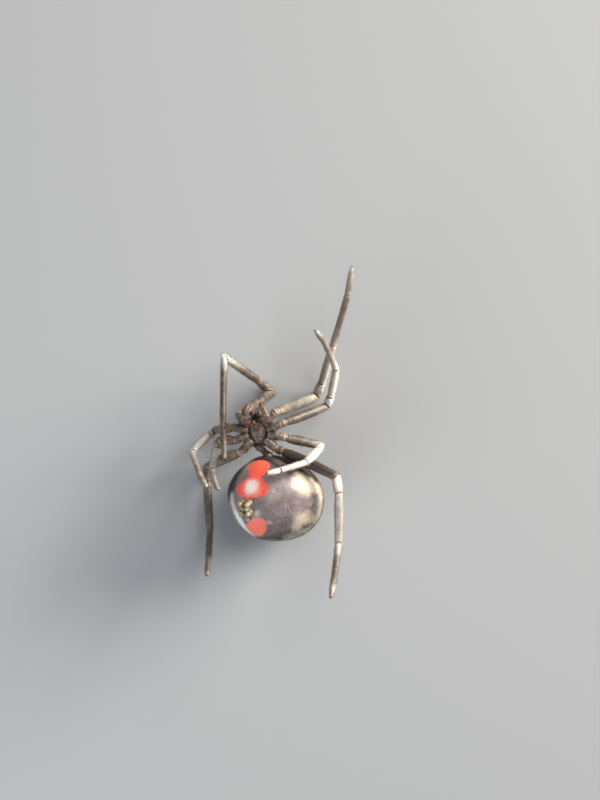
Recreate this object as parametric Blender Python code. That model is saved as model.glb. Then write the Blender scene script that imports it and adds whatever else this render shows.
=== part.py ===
"""Female black widow spider at life size, lying on its back with the belly turned up.

Frame: metres, +Z up, the floor at Z = 0 and the head towards +Y. Seen from above, the legs of the
spider's own left side are on the +X side. The origin is on the floor below the middle of the
whole spider, legs included.
"""

import math
from dataclasses import dataclass

import bmesh
import bpy
from mathutils import Matrix, Vector

MM = 0.001

# Edges sharper than this stay sharp where a piece is shaded smooth
SHARP_ANGLE = math.radians(40.0)
SLIVER = 1e-7

# Fineness of the rounded pieces: facets round and from end to end
BODY_FACETS = (20, 11)
THORAX_FACETS = (24, 13)
MOUTH_FACETS = (10, 7)
EYE_FACETS = (8, 6)
GLOBE_SUBDIVISIONS = 4

# Where pieces meet
GAP = 0.3 * MM

# Shift of the whole spider that brings its middle over the origin
CENTRING = (0.05 * MM, -0.09 * MM)

# Abdomen: a globe a little taller than long, in the abdomen's own directions
ABDOMEN_LENGTH = 6.93 * MM
ABDOMEN_WIDTH = 7.92 * MM
ABDOMEN_HEIGHT = 8.4 * MM
ABDOMEN_MIDDLE = (0.45 * MM, -5.59 * MM)
ABDOMEN_FORWARD = (0.18, 0.97, -0.18)
ABDOMEN_BELLY = (-0.545, 0.254, 0.799)
ABDOMEN_PRESS = 0.14 * MM
PEDICEL_ANGLE = 35.0
SPINNERET_ANGLE = 112.0
REAR_ANGLE = 146.0

# Low mounds on the globe: angle from forward, height, and spread in degrees
MOUNDS = ((PEDICEL_ANGLE, 0.28 * MM, 18.0), (SPINNERET_ANGLE, 0.22 * MM, 14.0), (REAR_ANGLE, 0.30 * MM, 34.0))

# Hourglass on the belly, as angles from the pedicel end towards the spinnerets
HOURGLASS_FRONT = 49.0
HOURGLASS_WAIST = 75.0
HOURGLASS_BACK = 101.0
HOURGLASS_FRONT_HALF_WIDTH = 15.0
HOURGLASS_WAIST_HALF_WIDTH = 7.0
HOURGLASS_BACK_HALF_WIDTH = 21.0
REAR_SPOT_ANGLE = 144.0
REAR_SPOT_RADIUS = 13.0

# Spinnerets: front pair, back pair, and the small knob above them
SPINNERET_LENGTH = 0.50 * MM
SPINNERET_RADIUS = 0.29 * MM
SPINNERET_SPACING = 4.6
SPINNERET_TIP_SHARE = 0.62
SPINNERET_ROOT_SHARE = 1.6
SPINNERET_LEAN = 42.0
SPINNERET_UPRIGHT = 1.2
SPINNERET_LEAST_SHARE = 0.55
SPINNERET_SIDES = 8

# Spinneret pairs: spacings along and across from the middle of the group, and size
SPINNERET_PAIRS = ((-1.1, 1.0, 1.0), (0.15, 0.55, 0.62), (1.2, 0.95, 0.9))
KNOB_ALONG = 3.1
KNOB_LENGTH_SHARE = 0.45
KNOB_TIP_SHARE = 0.7

# Cephalothorax
PROSOMA_MIDDLE = (-1.02 * MM, 0.19 * MM, 4.40 * MM)
PROSOMA_FORWARD = (-0.08, 0.985, 0.15)
PROSOMA_BELLY = (-0.06, -0.15, 0.985)
THORAX_LENGTH = 2.3 * MM
THORAX_WIDTH = 2.6 * MM
THORAX_HEIGHT = 1.7 * MM
THORAX_BACK = 0.30 * MM
HEAD_LENGTH = 1.9 * MM
HEAD_WIDTH = 1.42 * MM
HEAD_HEIGHT = 1.7 * MM
HEAD_AHEAD = 0.62 * MM
STERNUM_LENGTH = 1.75 * MM
STERNUM_WIDTH = 1.5 * MM
STERNUM_DEPTH = 1.16 * MM
STERNUM_PLACE = (-0.05 * MM, 0.0, -0.62 * STERNUM_DEPTH)

# Coxae: a ring of eight short drums round the sternum
COXA_ANGLES = (43.0, 74.0, 105.0, 136.0)
COXA_REACH = 2.08 * MM
COXA_ROOT = 0.75 * MM
COXA_DEPTH = 1.02 * MM
COXA_RADIUS = 0.40 * MM
COXA_STOUTNESS_SHARE = 0.5
COXA_PROFILE = ((0.0, 0.90), (0.45, 1.05), (1.0, 0.90))

# Eyes: two rows of four across the front of the head
EYE_RADIUS = 0.11 * MM
EYE_ROW_ANGLES = (16.0, 40.0)
EYE_SPREAD_ANGLES = (13.0, 36.0)
EYE_SEAT = 0.985

# Mouthparts, in the front body's own directions: forward, to the spider's left, and its back
CHELICERA_LENGTH = 1.05 * MM
CHELICERA_RADIUS = 0.25 * MM
CHELICERA_ROOT = (1.58 * MM, 0.31 * MM, -0.92 * MM)
CHELICERA_WAY = (0.22, 0.0, -1.0)
CHELICERA_SHARES = (0.92, 1.0, 0.72, 0.28)
CHELICERA_WIDEST = 0.4
FANG_REACH = (-0.14 * MM, -0.04 * MM, -0.24 * MM)
PALP_RADIUS = 0.26 * MM
PALP_SHARES = (0.95, 1.0, 1.05, 1.05, 0.6)
PALP_ROUTE = (
    (1.00 * MM, 0.80 * MM, -1.66 * MM),
    (1.24 * MM, 0.96 * MM, -2.18 * MM),
    (1.70 * MM, 0.92 * MM, -2.46 * MM),
    (2.22 * MM, 0.72 * MM, -2.30 * MM),
    (2.56 * MM, 0.54 * MM, -1.94 * MM),
)
MOUTH_PLATE_PLACE = (0.76 * MM, 0.36 * MM, -0.90 * STERNUM_DEPTH)
MOUTH_PLATE_SIZE = (0.70 * MM, 0.50 * MM, 0.62 * MM)
LIP_PLACE = (0.62 * MM, 0.0, -STERNUM_DEPTH)
LIP_SIZE = (0.50 * MM, 0.46 * MM, 0.40 * MM)

# Legs: radii along each piece at leg I, as pairs of share of its length and millimetres
FEMUR_PROFILE = ((0.0, 0.37), (0.10, 0.35), (0.18, 0.42), (0.42, 0.46), (0.78, 0.42), (1.0, 0.38))
PATELLA_PROFILE = ((0.0, 0.38), (0.55, 0.40), (1.0, 0.34))
TIBIA_PROFILE = ((0.0, 0.33), (0.30, 0.36), (0.75, 0.33), (1.0, 0.30))
METATARSUS_PROFILE = ((0.0, 0.29), (0.20, 0.27), (1.0, 0.26))
TARSUS_PROFILE = ((0.0, 0.26), (0.55, 0.25), (1.0, 0.14))
PATELLA_SHARE = 0.24
PATELLA_TURN = 0.16
TARSUS_SHARE = 0.30
FOOT_BOW = 0.035
LEG_SIDES = 10

# Pedicel
PEDICEL_RADIUS = 0.25 * MM
PEDICEL_INSETS = (0.20 * MM, 0.30 * MM)
PEDICEL_DEPTH = 0.25 * MM
PEDICEL_SHARES = (0.55, 0.95, 1.0, 0.95, 0.55)

# Angles of the two rings of the dome that closes a tube
DOME_ANGLES = (math.radians(62.0), math.radians(32.0))


@dataclass(frozen=True)
class Leg:
    """One leg beyond its hip: the places of its joints in millimetres and how stout it is."""

    pair: int
    side: int
    stoutness: float
    knee: tuple
    ankle: tuple
    tip: tuple


LEGS = {
    "leg_1_left": Leg(0, 1, 1.00, (3.86, 3.11, 0.32), (5.25, 7.41, 5.00), (6.70, 13.52, 10.60)),
    "leg_1_right": Leg(0, -1, 1.00, (-0.05, 3.42, 0.32), (-3.98, 6.41, 4.40), (-3.84, -2.10, 6.60)),
    "leg_2_left": Leg(1, 1, 0.92, (4.78, 2.25, 2.80), (5.50, 5.37, 5.40), (3.78, 8.44, 9.25)),
    "leg_2_right": Leg(1, -1, 0.92, (-4.92, 0.12, 1.10), (-6.66, -1.62, 4.50), (-5.25, -4.40, 8.60)),
    "leg_3_left": Leg(2, 1, 0.90, (4.15, -1.10, 4.60), (2.97, -2.40, 7.88), (-0.18, -3.27, 9.00)),
    "leg_3_right": Leg(2, -1, 0.90, (-4.50, -0.76, 2.20), (-5.02, -3.19, 3.80), (-4.35, -4.65, 7.30)),
    "leg_4_left": Leg(3, 1, 0.98, (5.45, -3.62, 6.85), (5.68, -9.25, 6.00), (5.00, -13.34, 9.80)),
    "leg_4_right": Leg(3, -1, 0.98, (-5.53, -3.06, 0.32), (-5.27, -8.40, 2.30), (-5.30, -11.85, 6.80)),
}


def clear_scene():
    """Remove every object of the opened file."""
    for obj in list(bpy.data.objects):
        bpy.data.objects.remove(obj, do_unlink=True)


def make_material(name, colour, roughness):
    """Principled material with a plain colour."""
    material = bpy.data.materials.new(name)
    material.use_nodes = True
    shader = material.node_tree.nodes["Principled BSDF"]
    shader.inputs["Base Color"].default_value = (*colour, 1.0)
    shader.inputs["Roughness"].default_value = roughness
    return material


def body_axes(forward, belly):
    """Rotation whose columns are forward, the spider's own left, and its back."""
    ahead = Vector(forward).normalized()
    back = -Vector(belly)
    back = (back - ahead * back.dot(ahead)).normalized()
    left = back.cross(ahead)
    return Matrix((ahead, left, back)).transposed()


def sagittal(angle):
    """Direction in the plane of symmetry, turned by the angle from forward towards the belly."""
    return Vector((math.cos(math.radians(angle)), 0.0, -math.sin(math.radians(angle))))


def add_ring(bm, place, turn, radius, sides):
    """Round ring of vertices across the direction that the turn gives to +Z."""
    matrix = Matrix.Translation(place) @ turn.to_matrix().to_4x4()
    made = bmesh.ops.create_circle(bm, cap_ends=False, radius=radius, segments=sides, matrix=matrix)
    return made["verts"]


def path_turns(places):
    """A rotation for each place that carries +Z along the path without twisting it."""
    turns = []
    for index, place in enumerate(places):
        before = places[max(index - 1, 0)]
        after = places[min(index + 1, len(places) - 1)]
        ahead = (after - before).normalized()
        if turns:
            carried = turns[-1] @ Vector((0.0, 0.0, 1.0))
            turns.append(carried.rotation_difference(ahead) @ turns[-1])
        else:
            turns.append(ahead.to_track_quat("Z", "Y"))
    return turns


def round_tube(places, radii, sides=LEG_SIDES):
    """Closed round tube through the places, with a dome at each end."""
    turns = path_turns(places)
    up = Vector((0.0, 0.0, 1.0))
    first, last = turns[0] @ up, turns[-1] @ up
    bm = bmesh.new()
    rings = []
    for angle in DOME_ANGLES:
        place = places[0] - first * radii[0] * math.sin(angle)
        rings.append(add_ring(bm, place, turns[0], radii[0] * math.cos(angle), sides))
    for place, turn, radius in zip(places, turns, radii):
        rings.append(add_ring(bm, place, turn, radius, sides))
    for angle in reversed(DOME_ANGLES):
        place = places[-1] + last * radii[-1] * math.sin(angle)
        rings.append(add_ring(bm, place, turns[-1], radii[-1] * math.cos(angle), sides))
    for lower, upper in zip(rings, rings[1:]):
        for index in range(sides):
            after = (index + 1) % sides
            bm.faces.new((lower[index], lower[after], upper[after], upper[index]))
    start_pole = bm.verts.new(places[0] - first * radii[0])
    end_pole = bm.verts.new(places[-1] + last * radii[-1])
    for index in range(sides):
        after = (index + 1) % sides
        bm.faces.new((rings[0][after], rings[0][index], start_pole))
        bm.faces.new((rings[-1][index], rings[-1][after], end_pole))
    bmesh.ops.recalc_face_normals(bm, faces=bm.faces)
    return bm


def trim(bm, place, normal):
    """Cut away what lies on the normal's side of a plane and close the cut."""
    geometry = list(bm.verts) + list(bm.edges) + list(bm.faces)
    cut = bmesh.ops.bisect_plane(
        bm, geom=geometry, dist=SLIVER, plane_co=place, plane_no=normal, clear_outer=True
    )
    edges = [item for item in cut["geom_cut"] if isinstance(item, bmesh.types.BMEdge)]
    if edges:
        bmesh.ops.edgeloop_fill(bm, edges=edges)
    bmesh.ops.recalc_face_normals(bm, faces=bm.faces)


def trim_at_joint(bm, joint, before, after, keep_before):
    """Cut a piece half a gap short of the plane that halves the bend at a joint."""
    normal = (before + after).normalized()
    if not keep_before:
        normal = -normal
    trim(bm, joint - normal * GAP / 2, normal)


def trim_at_floor(bm):
    """Give a piece that reaches the floor a small flat there."""
    if min(vert.co.z for vert in bm.verts) < 0.0:
        trim(bm, Vector((0.0, 0.0, 0.0)), Vector((0.0, 0.0, -1.0)))


def ellipsoid(middle, axes, length, width, height, facets=BODY_FACETS):
    """Closed ellipsoid along a body's own directions."""
    size = Matrix.Diagonal((length / 2, width / 2, height / 2, 1.0))
    matrix = Matrix.Translation(middle) @ axes.to_4x4() @ size
    segments, rings = facets
    bm = bmesh.new()
    bmesh.ops.create_uvsphere(bm, u_segments=segments, v_segments=rings, radius=1.0, matrix=matrix)
    return bm


def smooth_mesh(bm, name):
    """Mesh data shaded smooth, with its sharp edges kept sharp."""
    mesh = bpy.data.meshes.new(name)
    bm.to_mesh(mesh)
    bm.free()
    mesh.shade_smooth()
    mesh.set_sharp_from_angle(angle=SHARP_ANGLE)
    return mesh


def place_object(name, bm, origin, turn, material, parent):
    """Object whose own frame sits at the origin given, holding geometry given in the world."""
    matrix = Matrix.Translation(origin) @ turn.to_4x4()
    bm.transform(matrix.inverted())
    obj = bpy.data.objects.new(name, smooth_mesh(bm, name))
    obj.data.materials.append(material)
    obj.parent = parent
    obj.matrix_basis = matrix
    bpy.context.scene.collection.objects.link(obj)
    return obj


def keep_largest_surface(bm):
    """Delete every closed surface but the largest."""
    unseen = set(bm.verts)
    surfaces = []
    while unseen:
        stack = [unseen.pop()]
        surface = list(stack)
        while stack:
            vert = stack.pop()
            for edge in vert.link_edges:
                other = edge.other_vert(vert)
                if other in unseen:
                    unseen.remove(other)
                    stack.append(other)
                    surface.append(other)
        surfaces.append(surface)
    surfaces.sort(key=len)
    for surface in surfaces[:-1]:
        bmesh.ops.delete(bm, geom=surface, context="VERTS")


def fuse(base, pieces):
    """One closed surface made of a base and the pieces rooted in it."""
    holder = bpy.data.collections.new("rooted_pieces")
    bpy.context.scene.collection.children.link(holder)
    for index, piece in enumerate(pieces):
        holder.objects.link(bpy.data.objects.new(f"rooted_{index}", smooth_mesh(piece, "rooted")))
    body = bpy.data.objects.new("fusing", smooth_mesh(base, "fusing"))
    bpy.context.scene.collection.objects.link(body)
    union = body.modifiers.new("union", "BOOLEAN")
    union.operation = "UNION"
    union.operand_type = "COLLECTION"
    union.collection = holder
    union.solver = "EXACT"
    graph = bpy.context.evaluated_depsgraph_get()
    fused = bmesh.new()
    fused.from_mesh(body.evaluated_get(graph).to_mesh())
    for obj in [body, *holder.objects]:
        bpy.data.objects.remove(obj, do_unlink=True)
    bpy.data.collections.remove(holder)
    keep_largest_surface(fused)
    return fused


def abdomen_surface(direction):
    """Point of the abdomen in its own directions, with low mounds at the pedicel, spinnerets and rear."""
    half = Vector((ABDOMEN_LENGTH, ABDOMEN_WIDTH, ABDOMEN_HEIGHT)) / 2
    stretch = math.sqrt(sum((direction[axis] / half[axis]) ** 2 for axis in range(3)))
    reach = 1.0 / stretch
    for angle, height, spread in MOUNDS:
        away = math.degrees(direction.angle(sagittal(angle)))
        reach += height * math.exp(-((away / spread) ** 2))
    return direction * reach


def belly_angles(direction):
    """Angle along the plane of symmetry from forward, and the angle out to either side of it."""
    along = math.degrees(math.atan2(-direction.z, direction.x))
    across = math.degrees(math.asin(direction.y))
    return along, abs(across)


def is_red(direction):
    """Whether a direction from the abdomen's middle falls in the hourglass or the rear spot."""
    along, across = belly_angles(direction)
    if direction.angle(sagittal(REAR_SPOT_ANGLE)) < math.radians(REAR_SPOT_RADIUS):
        return True
    if not HOURGLASS_FRONT < along < HOURGLASS_BACK:
        return False
    end, widest = HOURGLASS_FRONT, HOURGLASS_FRONT_HALF_WIDTH
    if along > HOURGLASS_WAIST:
        end, widest = HOURGLASS_BACK, HOURGLASS_BACK_HALF_WIDTH
    share = (along - HOURGLASS_WAIST) / (end - HOURGLASS_WAIST)
    return across < HOURGLASS_WAIST_HALF_WIDTH + (widest - HOURGLASS_WAIST_HALF_WIDTH) * share


def spinneret_cone(middle, axes, direction, outward, radius, length, tip_share):
    """Short cone rooted in the abdomen."""
    root = abdomen_surface(direction)
    start = middle + axes @ (root - outward * radius * SPINNERET_ROOT_SHARE)
    end = middle + axes @ (root + outward * length)
    return round_tube([start, end], [radius, radius * tip_share], SPINNERET_SIDES)


def spinneret_pieces(middle, axes):
    """Three pairs of short cones that lean back, and the small knob behind them."""
    pieces = []
    lean = sagittal(SPINNERET_ANGLE + SPINNERET_LEAN)
    for along, across, size in SPINNERET_PAIRS:
        for side in (-1, 1):
            direction = sagittal(SPINNERET_ANGLE + along * SPINNERET_SPACING)
            direction.y = side * across * math.radians(SPINNERET_SPACING)
            direction.normalize()
            outward = (direction * SPINNERET_UPRIGHT + lean).normalized()
            radius = SPINNERET_RADIUS * (SPINNERET_LEAST_SHARE + (1.0 - SPINNERET_LEAST_SHARE) * size)
            length = SPINNERET_LENGTH * size
            pieces.append(
                spinneret_cone(middle, axes, direction, outward, radius, length, SPINNERET_TIP_SHARE)
            )
    knob = sagittal(SPINNERET_ANGLE + KNOB_ALONG * SPINNERET_SPACING)
    length = SPINNERET_LENGTH * KNOB_LENGTH_SHARE
    pieces.append(spinneret_cone(middle, axes, knob, knob, SPINNERET_RADIUS, length, KNOB_TIP_SHARE))
    return pieces


def build_abdomen(materials, parent):
    """Globe with its spinnerets, resting on a small flat. Returns its middle and directions."""
    axes = body_axes(ABDOMEN_FORWARD, ABDOMEN_BELLY)
    globe = bmesh.new()
    bmesh.ops.create_icosphere(globe, subdivisions=GLOBE_SUBDIVISIONS, radius=1.0)
    for vert in globe.verts:
        vert.co = axes @ abdomen_surface(axes.inverted() @ vert.co.normalized())
    lowest = min(vert.co.z for vert in globe.verts)
    middle = Vector((*ABDOMEN_MIDDLE, -lowest - ABDOMEN_PRESS))
    globe.transform(Matrix.Translation(middle))
    fused = fuse(globe, spinneret_pieces(middle, axes))
    trim_at_floor(fused)
    fused.faces.ensure_lookup_table()
    for face in fused.faces:
        direction = axes.inverted() @ (face.calc_center_median() - middle)
        face.material_index = int(is_red(direction.normalized()))
    abdomen = place_object("abdomen", fused, middle, axes, materials["abdomen"], parent)
    abdomen.data.materials.append(materials["hourglass"])
    return middle, axes


def hip_place(leg, middle, axes):
    """Where a leg leaves its coxa, and the coxa's direction."""
    angle = math.radians(COXA_ANGLES[leg.pair])
    outward = Vector((math.cos(angle), leg.side * math.sin(angle), 0.0))
    hip = outward * COXA_REACH + Vector((0.0, 0.0, -COXA_DEPTH))
    return middle + axes @ hip, (axes @ outward).normalized()


def leg_joints(leg, hip):
    """The six places from hip to tip: hip, knee, end of patella, ankle, end of metatarsus, tip."""
    knee, ankle, tip = (Vector(place) * MM for place in (leg.knee, leg.ankle, leg.tip))
    thigh = (knee - hip).normalized()
    shin = (ankle - knee).normalized()
    patella_way = (shin + thigh * PATELLA_TURN).normalized()
    patella_end = knee + patella_way * (ankle - knee).length * PATELLA_SHARE
    foot = tip - ankle
    bow = (foot.normalized() - shin).normalized() * foot.length * FOOT_BOW
    metatarsus_end = ankle + foot * (1.0 - TARSUS_SHARE) - bow
    return [hip, knee, patella_end, ankle, metatarsus_end, tip]


def profile_tube(start, end, profile, stoutness):
    """Straight tube whose radius follows a profile of shares of its length."""
    places = [start.lerp(end, share) for share, _ in profile]
    radii = [radius * MM * stoutness for _, radius in profile]
    return round_tube(places, radii)


def build_leg(name, leg, hip, coxa_way, materials, parent):
    """Femur, patella, tibia, metatarsus and tarsus of one leg."""
    joints = leg_joints(leg, hip)
    ways = [coxa_way] + [(b - a).normalized() for a, b in zip(joints, joints[1:])]
    profiles = {
        "femur": FEMUR_PROFILE,
        "patella": PATELLA_PROFILE,
        "tibia": TIBIA_PROFILE,
        "metatarsus": METATARSUS_PROFILE,
        "tarsus": TARSUS_PROFILE,
    }
    for index, (piece, profile) in enumerate(profiles.items()):
        bm = profile_tube(joints[index], joints[index + 1], profile, leg.stoutness)
        trim_at_joint(bm, joints[index], ways[index], ways[index + 1], keep_before=False)
        if piece != "tarsus":
            trim_at_joint(bm, joints[index + 1], ways[index + 1], ways[index + 2], keep_before=True)
        trim_at_floor(bm)
        turn = ways[index + 1].to_track_quat("Z", "Y").to_matrix()
        place_object(f"{name}_{piece}", bm, joints[index], turn, materials["leg"], parent)


def coxa_piece(leg, middle, axes):
    """Short drum from the sternum out to the hip, cut to meet the femur."""
    hip, way = hip_place(leg, middle, axes)
    root = hip - way * (COXA_REACH - COXA_ROOT)
    radius = COXA_RADIUS * (1.0 - COXA_STOUTNESS_SHARE + COXA_STOUTNESS_SHARE * leg.stoutness)
    places = [root.lerp(hip, share) for share, _ in COXA_PROFILE]
    bm = round_tube(places, [radius * swell for _, swell in COXA_PROFILE])
    thigh = (Vector(leg.knee) * MM - hip).normalized()
    trim_at_joint(bm, hip, way, thigh, keep_before=True)
    return bm


def eye_pieces(middle, axes):
    """Eight domes in two rows over the front of the head."""
    head = middle + axes @ Vector((HEAD_AHEAD, 0.0, 0.0))
    half = Vector((HEAD_LENGTH, HEAD_WIDTH, HEAD_HEIGHT)) / 2
    pieces = []
    for lift in EYE_ROW_ANGLES:
        for spread in EYE_SPREAD_ANGLES:
            for side in (-1, 1):
                up, across = math.radians(lift), math.radians(spread) * side
                way = Vector((math.cos(up) * math.cos(across), math.sin(across), math.sin(up)))
                reach = 1.0 / math.sqrt(sum((way[axis] / half[axis]) ** 2 for axis in range(3)))
                place = head + axes @ (way.normalized() * reach * EYE_SEAT)
                size = 2 * EYE_RADIUS
                pieces.append(ellipsoid(place, axes, size, size, size, EYE_FACETS))
    return pieces


def mirrored(place, side):
    """Place on the spider's left, or on its right where the side is negative."""
    return Vector((place[0], side * place[1], place[2]))


def mouth_pieces(middle, axes):
    """The plates behind the jaws: one each side and a small one between."""
    pieces = []
    for side in (-1, 1):
        place = middle + axes @ mirrored(MOUTH_PLATE_PLACE, side)
        pieces.append(ellipsoid(place, axes, *MOUTH_PLATE_SIZE, MOUTH_FACETS))
    place = middle + axes @ Vector(LIP_PLACE)
    pieces.append(ellipsoid(place, axes, *LIP_SIZE, MOUTH_FACETS))
    return pieces


def build_cephalothorax(materials, parent):
    """Carapace, sternum, coxae, mouth plates and eyes as one piece. Returns middle and directions."""
    axes = body_axes(PROSOMA_FORWARD, PROSOMA_BELLY)
    middle = Vector(PROSOMA_MIDDLE)
    thorax_middle = middle + axes @ Vector((-THORAX_BACK, 0.0, 0.0))
    thorax = ellipsoid(thorax_middle, axes, THORAX_LENGTH, THORAX_WIDTH, THORAX_HEIGHT, THORAX_FACETS)
    head_middle = middle + axes @ Vector((HEAD_AHEAD, 0.0, 0.0))
    sternum_middle = middle + axes @ Vector(STERNUM_PLACE)
    pieces = [
        ellipsoid(head_middle, axes, HEAD_LENGTH, HEAD_WIDTH, HEAD_HEIGHT),
        ellipsoid(sternum_middle, axes, STERNUM_LENGTH, STERNUM_WIDTH, STERNUM_DEPTH),
    ]
    pieces += [coxa_piece(leg, middle, axes) for leg in LEGS.values()]
    pieces += mouth_pieces(middle, axes)
    pieces += eye_pieces(middle, axes)
    fused = fuse(thorax, pieces)
    place_object("cephalothorax", fused, middle, axes, materials["carapace"], parent)
    return middle, axes


def build_pedicel(prosoma, abdomen, materials, parent):
    """Waist between the back of the thorax and the mound on the abdomen's front."""
    prosoma_middle, prosoma_axes = prosoma
    abdomen_middle, abdomen_axes = abdomen
    back = Vector((-THORAX_BACK - THORAX_LENGTH / 2, 0.0, -PEDICEL_DEPTH))
    leaving = prosoma_axes @ Vector((-1.0, 0.0, 0.0))
    arriving = abdomen_axes @ -sagittal(PEDICEL_ANGLE)
    start = prosoma_middle + prosoma_axes @ back + leaving * PEDICEL_INSETS[0]
    mound = abdomen_surface(sagittal(PEDICEL_ANGLE))
    end = abdomen_middle + abdomen_axes @ mound - arriving * PEDICEL_INSETS[1]
    last = len(PEDICEL_SHARES) - 1
    places = [start.lerp(end, index / last) for index in range(last + 1)]
    bm = round_tube(places, [PEDICEL_RADIUS * share for share in PEDICEL_SHARES])
    turn = (end - start).to_track_quat("Z", "Y").to_matrix()
    place_object("pedicel", bm, start, turn, materials["carapace"], parent)


def build_mouthpart(name, route, radii, prosoma, material, parent):
    """Tube through places given in the front body's own directions, cut square at its root."""
    middle, axes = prosoma
    places = [middle + axes @ place for place in route]
    bm = round_tube(places, radii)
    way = (places[1] - places[0]).normalized()
    trim(bm, places[0], -way)
    turn = way.to_track_quat("Z", "Y").to_matrix()
    place_object(name, bm, places[0], turn, material, parent)


def build_mouthparts(prosoma, materials, parent):
    """The two jaws with their fangs and the two palps."""
    for name, side in (("left", 1), ("right", -1)):
        root = mirrored(CHELICERA_ROOT, side)
        end = root + Vector(CHELICERA_WAY).normalized() * CHELICERA_LENGTH
        route = [root, root.lerp(end, CHELICERA_WIDEST), end, end + mirrored(FANG_REACH, side)]
        radii = [CHELICERA_RADIUS * share for share in CHELICERA_SHARES]
        build_mouthpart(f"chelicera_{name}", route, radii, prosoma, materials["leg"], parent)

        route = [mirrored(place, side) for place in PALP_ROUTE]
        radii = [PALP_RADIUS * share for share in PALP_SHARES]
        build_mouthpart(f"pedipalp_{name}", route, radii, prosoma, materials["leg"], parent)


def main():
    """Build the whole spider under one empty."""
    clear_scene()
    materials = {
        "abdomen": make_material("abdomen_cuticle", (0.105, 0.078, 0.082), 0.32),
        "hourglass": make_material("hourglass_red", (0.72, 0.045, 0.025), 0.35),
        "carapace": make_material("carapace_cuticle", (0.060, 0.045, 0.040), 0.38),
        "leg": make_material("leg_cuticle", (0.085, 0.055, 0.038), 0.40),
    }
    spider = bpy.data.objects.new("spider", None)
    spider.location = (*CENTRING, 0.0)
    bpy.context.scene.collection.objects.link(spider)
    abdomen = build_abdomen(materials, spider)
    prosoma = build_cephalothorax(materials, spider)
    build_pedicel(prosoma, abdomen, materials, spider)
    build_mouthparts(prosoma, materials, spider)
    for name, leg in LEGS.items():
        hip, coxa_way = hip_place(leg, *prosoma)
        build_leg(name, leg, hip, coxa_way, materials, spider)


main()
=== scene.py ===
"""Dressed model of a female black widow spider, lying on its back with the red hourglass turned up.

Frame: metres, +Z up from the floor and +Y towards the head; the spider's own left is on the +X side.
Shapes are worked out in millimetres, and each mesh is turned to metres as it is made.
"""

import logging
import math
from dataclasses import dataclass, field
from enum import Enum
from typing import Any

import bmesh
import bpy
import numpy as np
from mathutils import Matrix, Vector

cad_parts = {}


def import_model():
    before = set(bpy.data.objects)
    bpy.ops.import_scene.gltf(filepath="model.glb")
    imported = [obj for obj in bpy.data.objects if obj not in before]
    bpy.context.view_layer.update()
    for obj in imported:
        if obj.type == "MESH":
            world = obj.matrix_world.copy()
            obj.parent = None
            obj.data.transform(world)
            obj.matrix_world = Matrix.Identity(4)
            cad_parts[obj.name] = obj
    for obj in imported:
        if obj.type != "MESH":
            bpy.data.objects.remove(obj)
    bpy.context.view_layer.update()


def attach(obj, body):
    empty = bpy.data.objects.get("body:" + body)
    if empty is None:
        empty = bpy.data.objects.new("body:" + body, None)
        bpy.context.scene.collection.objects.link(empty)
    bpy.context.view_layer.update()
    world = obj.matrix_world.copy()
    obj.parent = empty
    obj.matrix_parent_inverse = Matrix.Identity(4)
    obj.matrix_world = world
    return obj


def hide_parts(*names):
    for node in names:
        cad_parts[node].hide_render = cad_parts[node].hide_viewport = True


log = logging.getLogger("spider")

MM = 0.001
# From the drawing's middle to the middle of the whole spider, in millimetres
SHIFT = np.array((0.05, -0.09, 0.0))
BODY = "root"
FULL_TURN = 2.0 * math.pi
# Share of a half turn from one seed of a flower to the next
GOLDEN_SHARE = 3.0 - math.sqrt(5.0)
# The coat's map: its name, the share of it in use, and the size of one hair's patch
COAT_MAP = "OFBake"
MAP_SHARE = 0.99
COAT_PATCH = 0.003
HAIR_CORNERS = 7
# Closed end of a rounded tube: least square of its radius share
LEAST_END = 0.002
Colour = tuple[float, float, float]


class Slot(Enum):
    """Material slot names."""

    ABDOMEN = "abdomen_cuticle"
    CARAPACE = "carapace_cuticle"
    JAW = "jaw_cuticle"
    LEG = "leg_cuticle"


# Small geometry tools


def unit(vectors: Any) -> np.ndarray:
    """Vectors brought to length one."""
    vectors = np.asarray(vectors, float)
    return vectors / np.linalg.norm(vectors, axis=-1, keepdims=True)


def body_axes(forward: tuple, belly: tuple) -> np.ndarray:
    """Directions of a body part.

    Args:
        forward: where its front points.
        belly: where its belly points.

    Returns:
        Matrix whose columns are forward, the spider's own left, and its back.
    """
    ahead = unit(forward)
    back = -np.asarray(belly, float)
    back = unit(back - ahead * back.dot(ahead))
    return np.stack((ahead, np.cross(back, ahead), back), axis=1)


def sagittal(angle: float) -> np.ndarray:
    """Direction in the plane of symmetry, turned by degrees from forward towards the belly."""
    return np.array((math.cos(math.radians(angle)), 0.0, -math.sin(math.radians(angle))))


def direction(at: float, aside: float) -> np.ndarray:
    """Direction over a globe.

    Args:
        at: degrees from forward towards the belly.
        aside: degrees from there towards the left.

    Returns:
        The direction, of length one.
    """
    way = sagittal(at) * math.cos(math.radians(aside))
    way[1] = math.sin(math.radians(aside))
    return way


def degrees_from(way: np.ndarray, ways: np.ndarray) -> np.ndarray:
    """Angle between one direction and each of the others."""
    return np.degrees(np.arccos(np.clip(ways @ way, -1.0, 1.0)))


def smooth_step(values: np.ndarray, low: float, high: float) -> np.ndarray:
    """Zero below low, one above high, and an even curve between."""
    share = np.clip((values - low) / (high - low), 0.0, 1.0)
    return share * share * (3.0 - 2.0 * share)


def bell(values: np.ndarray, middle: float, spread: float) -> np.ndarray:
    """One at the middle, falling off to either side over the spread."""
    return np.exp(-(((values - middle) / spread) ** 2))


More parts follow.
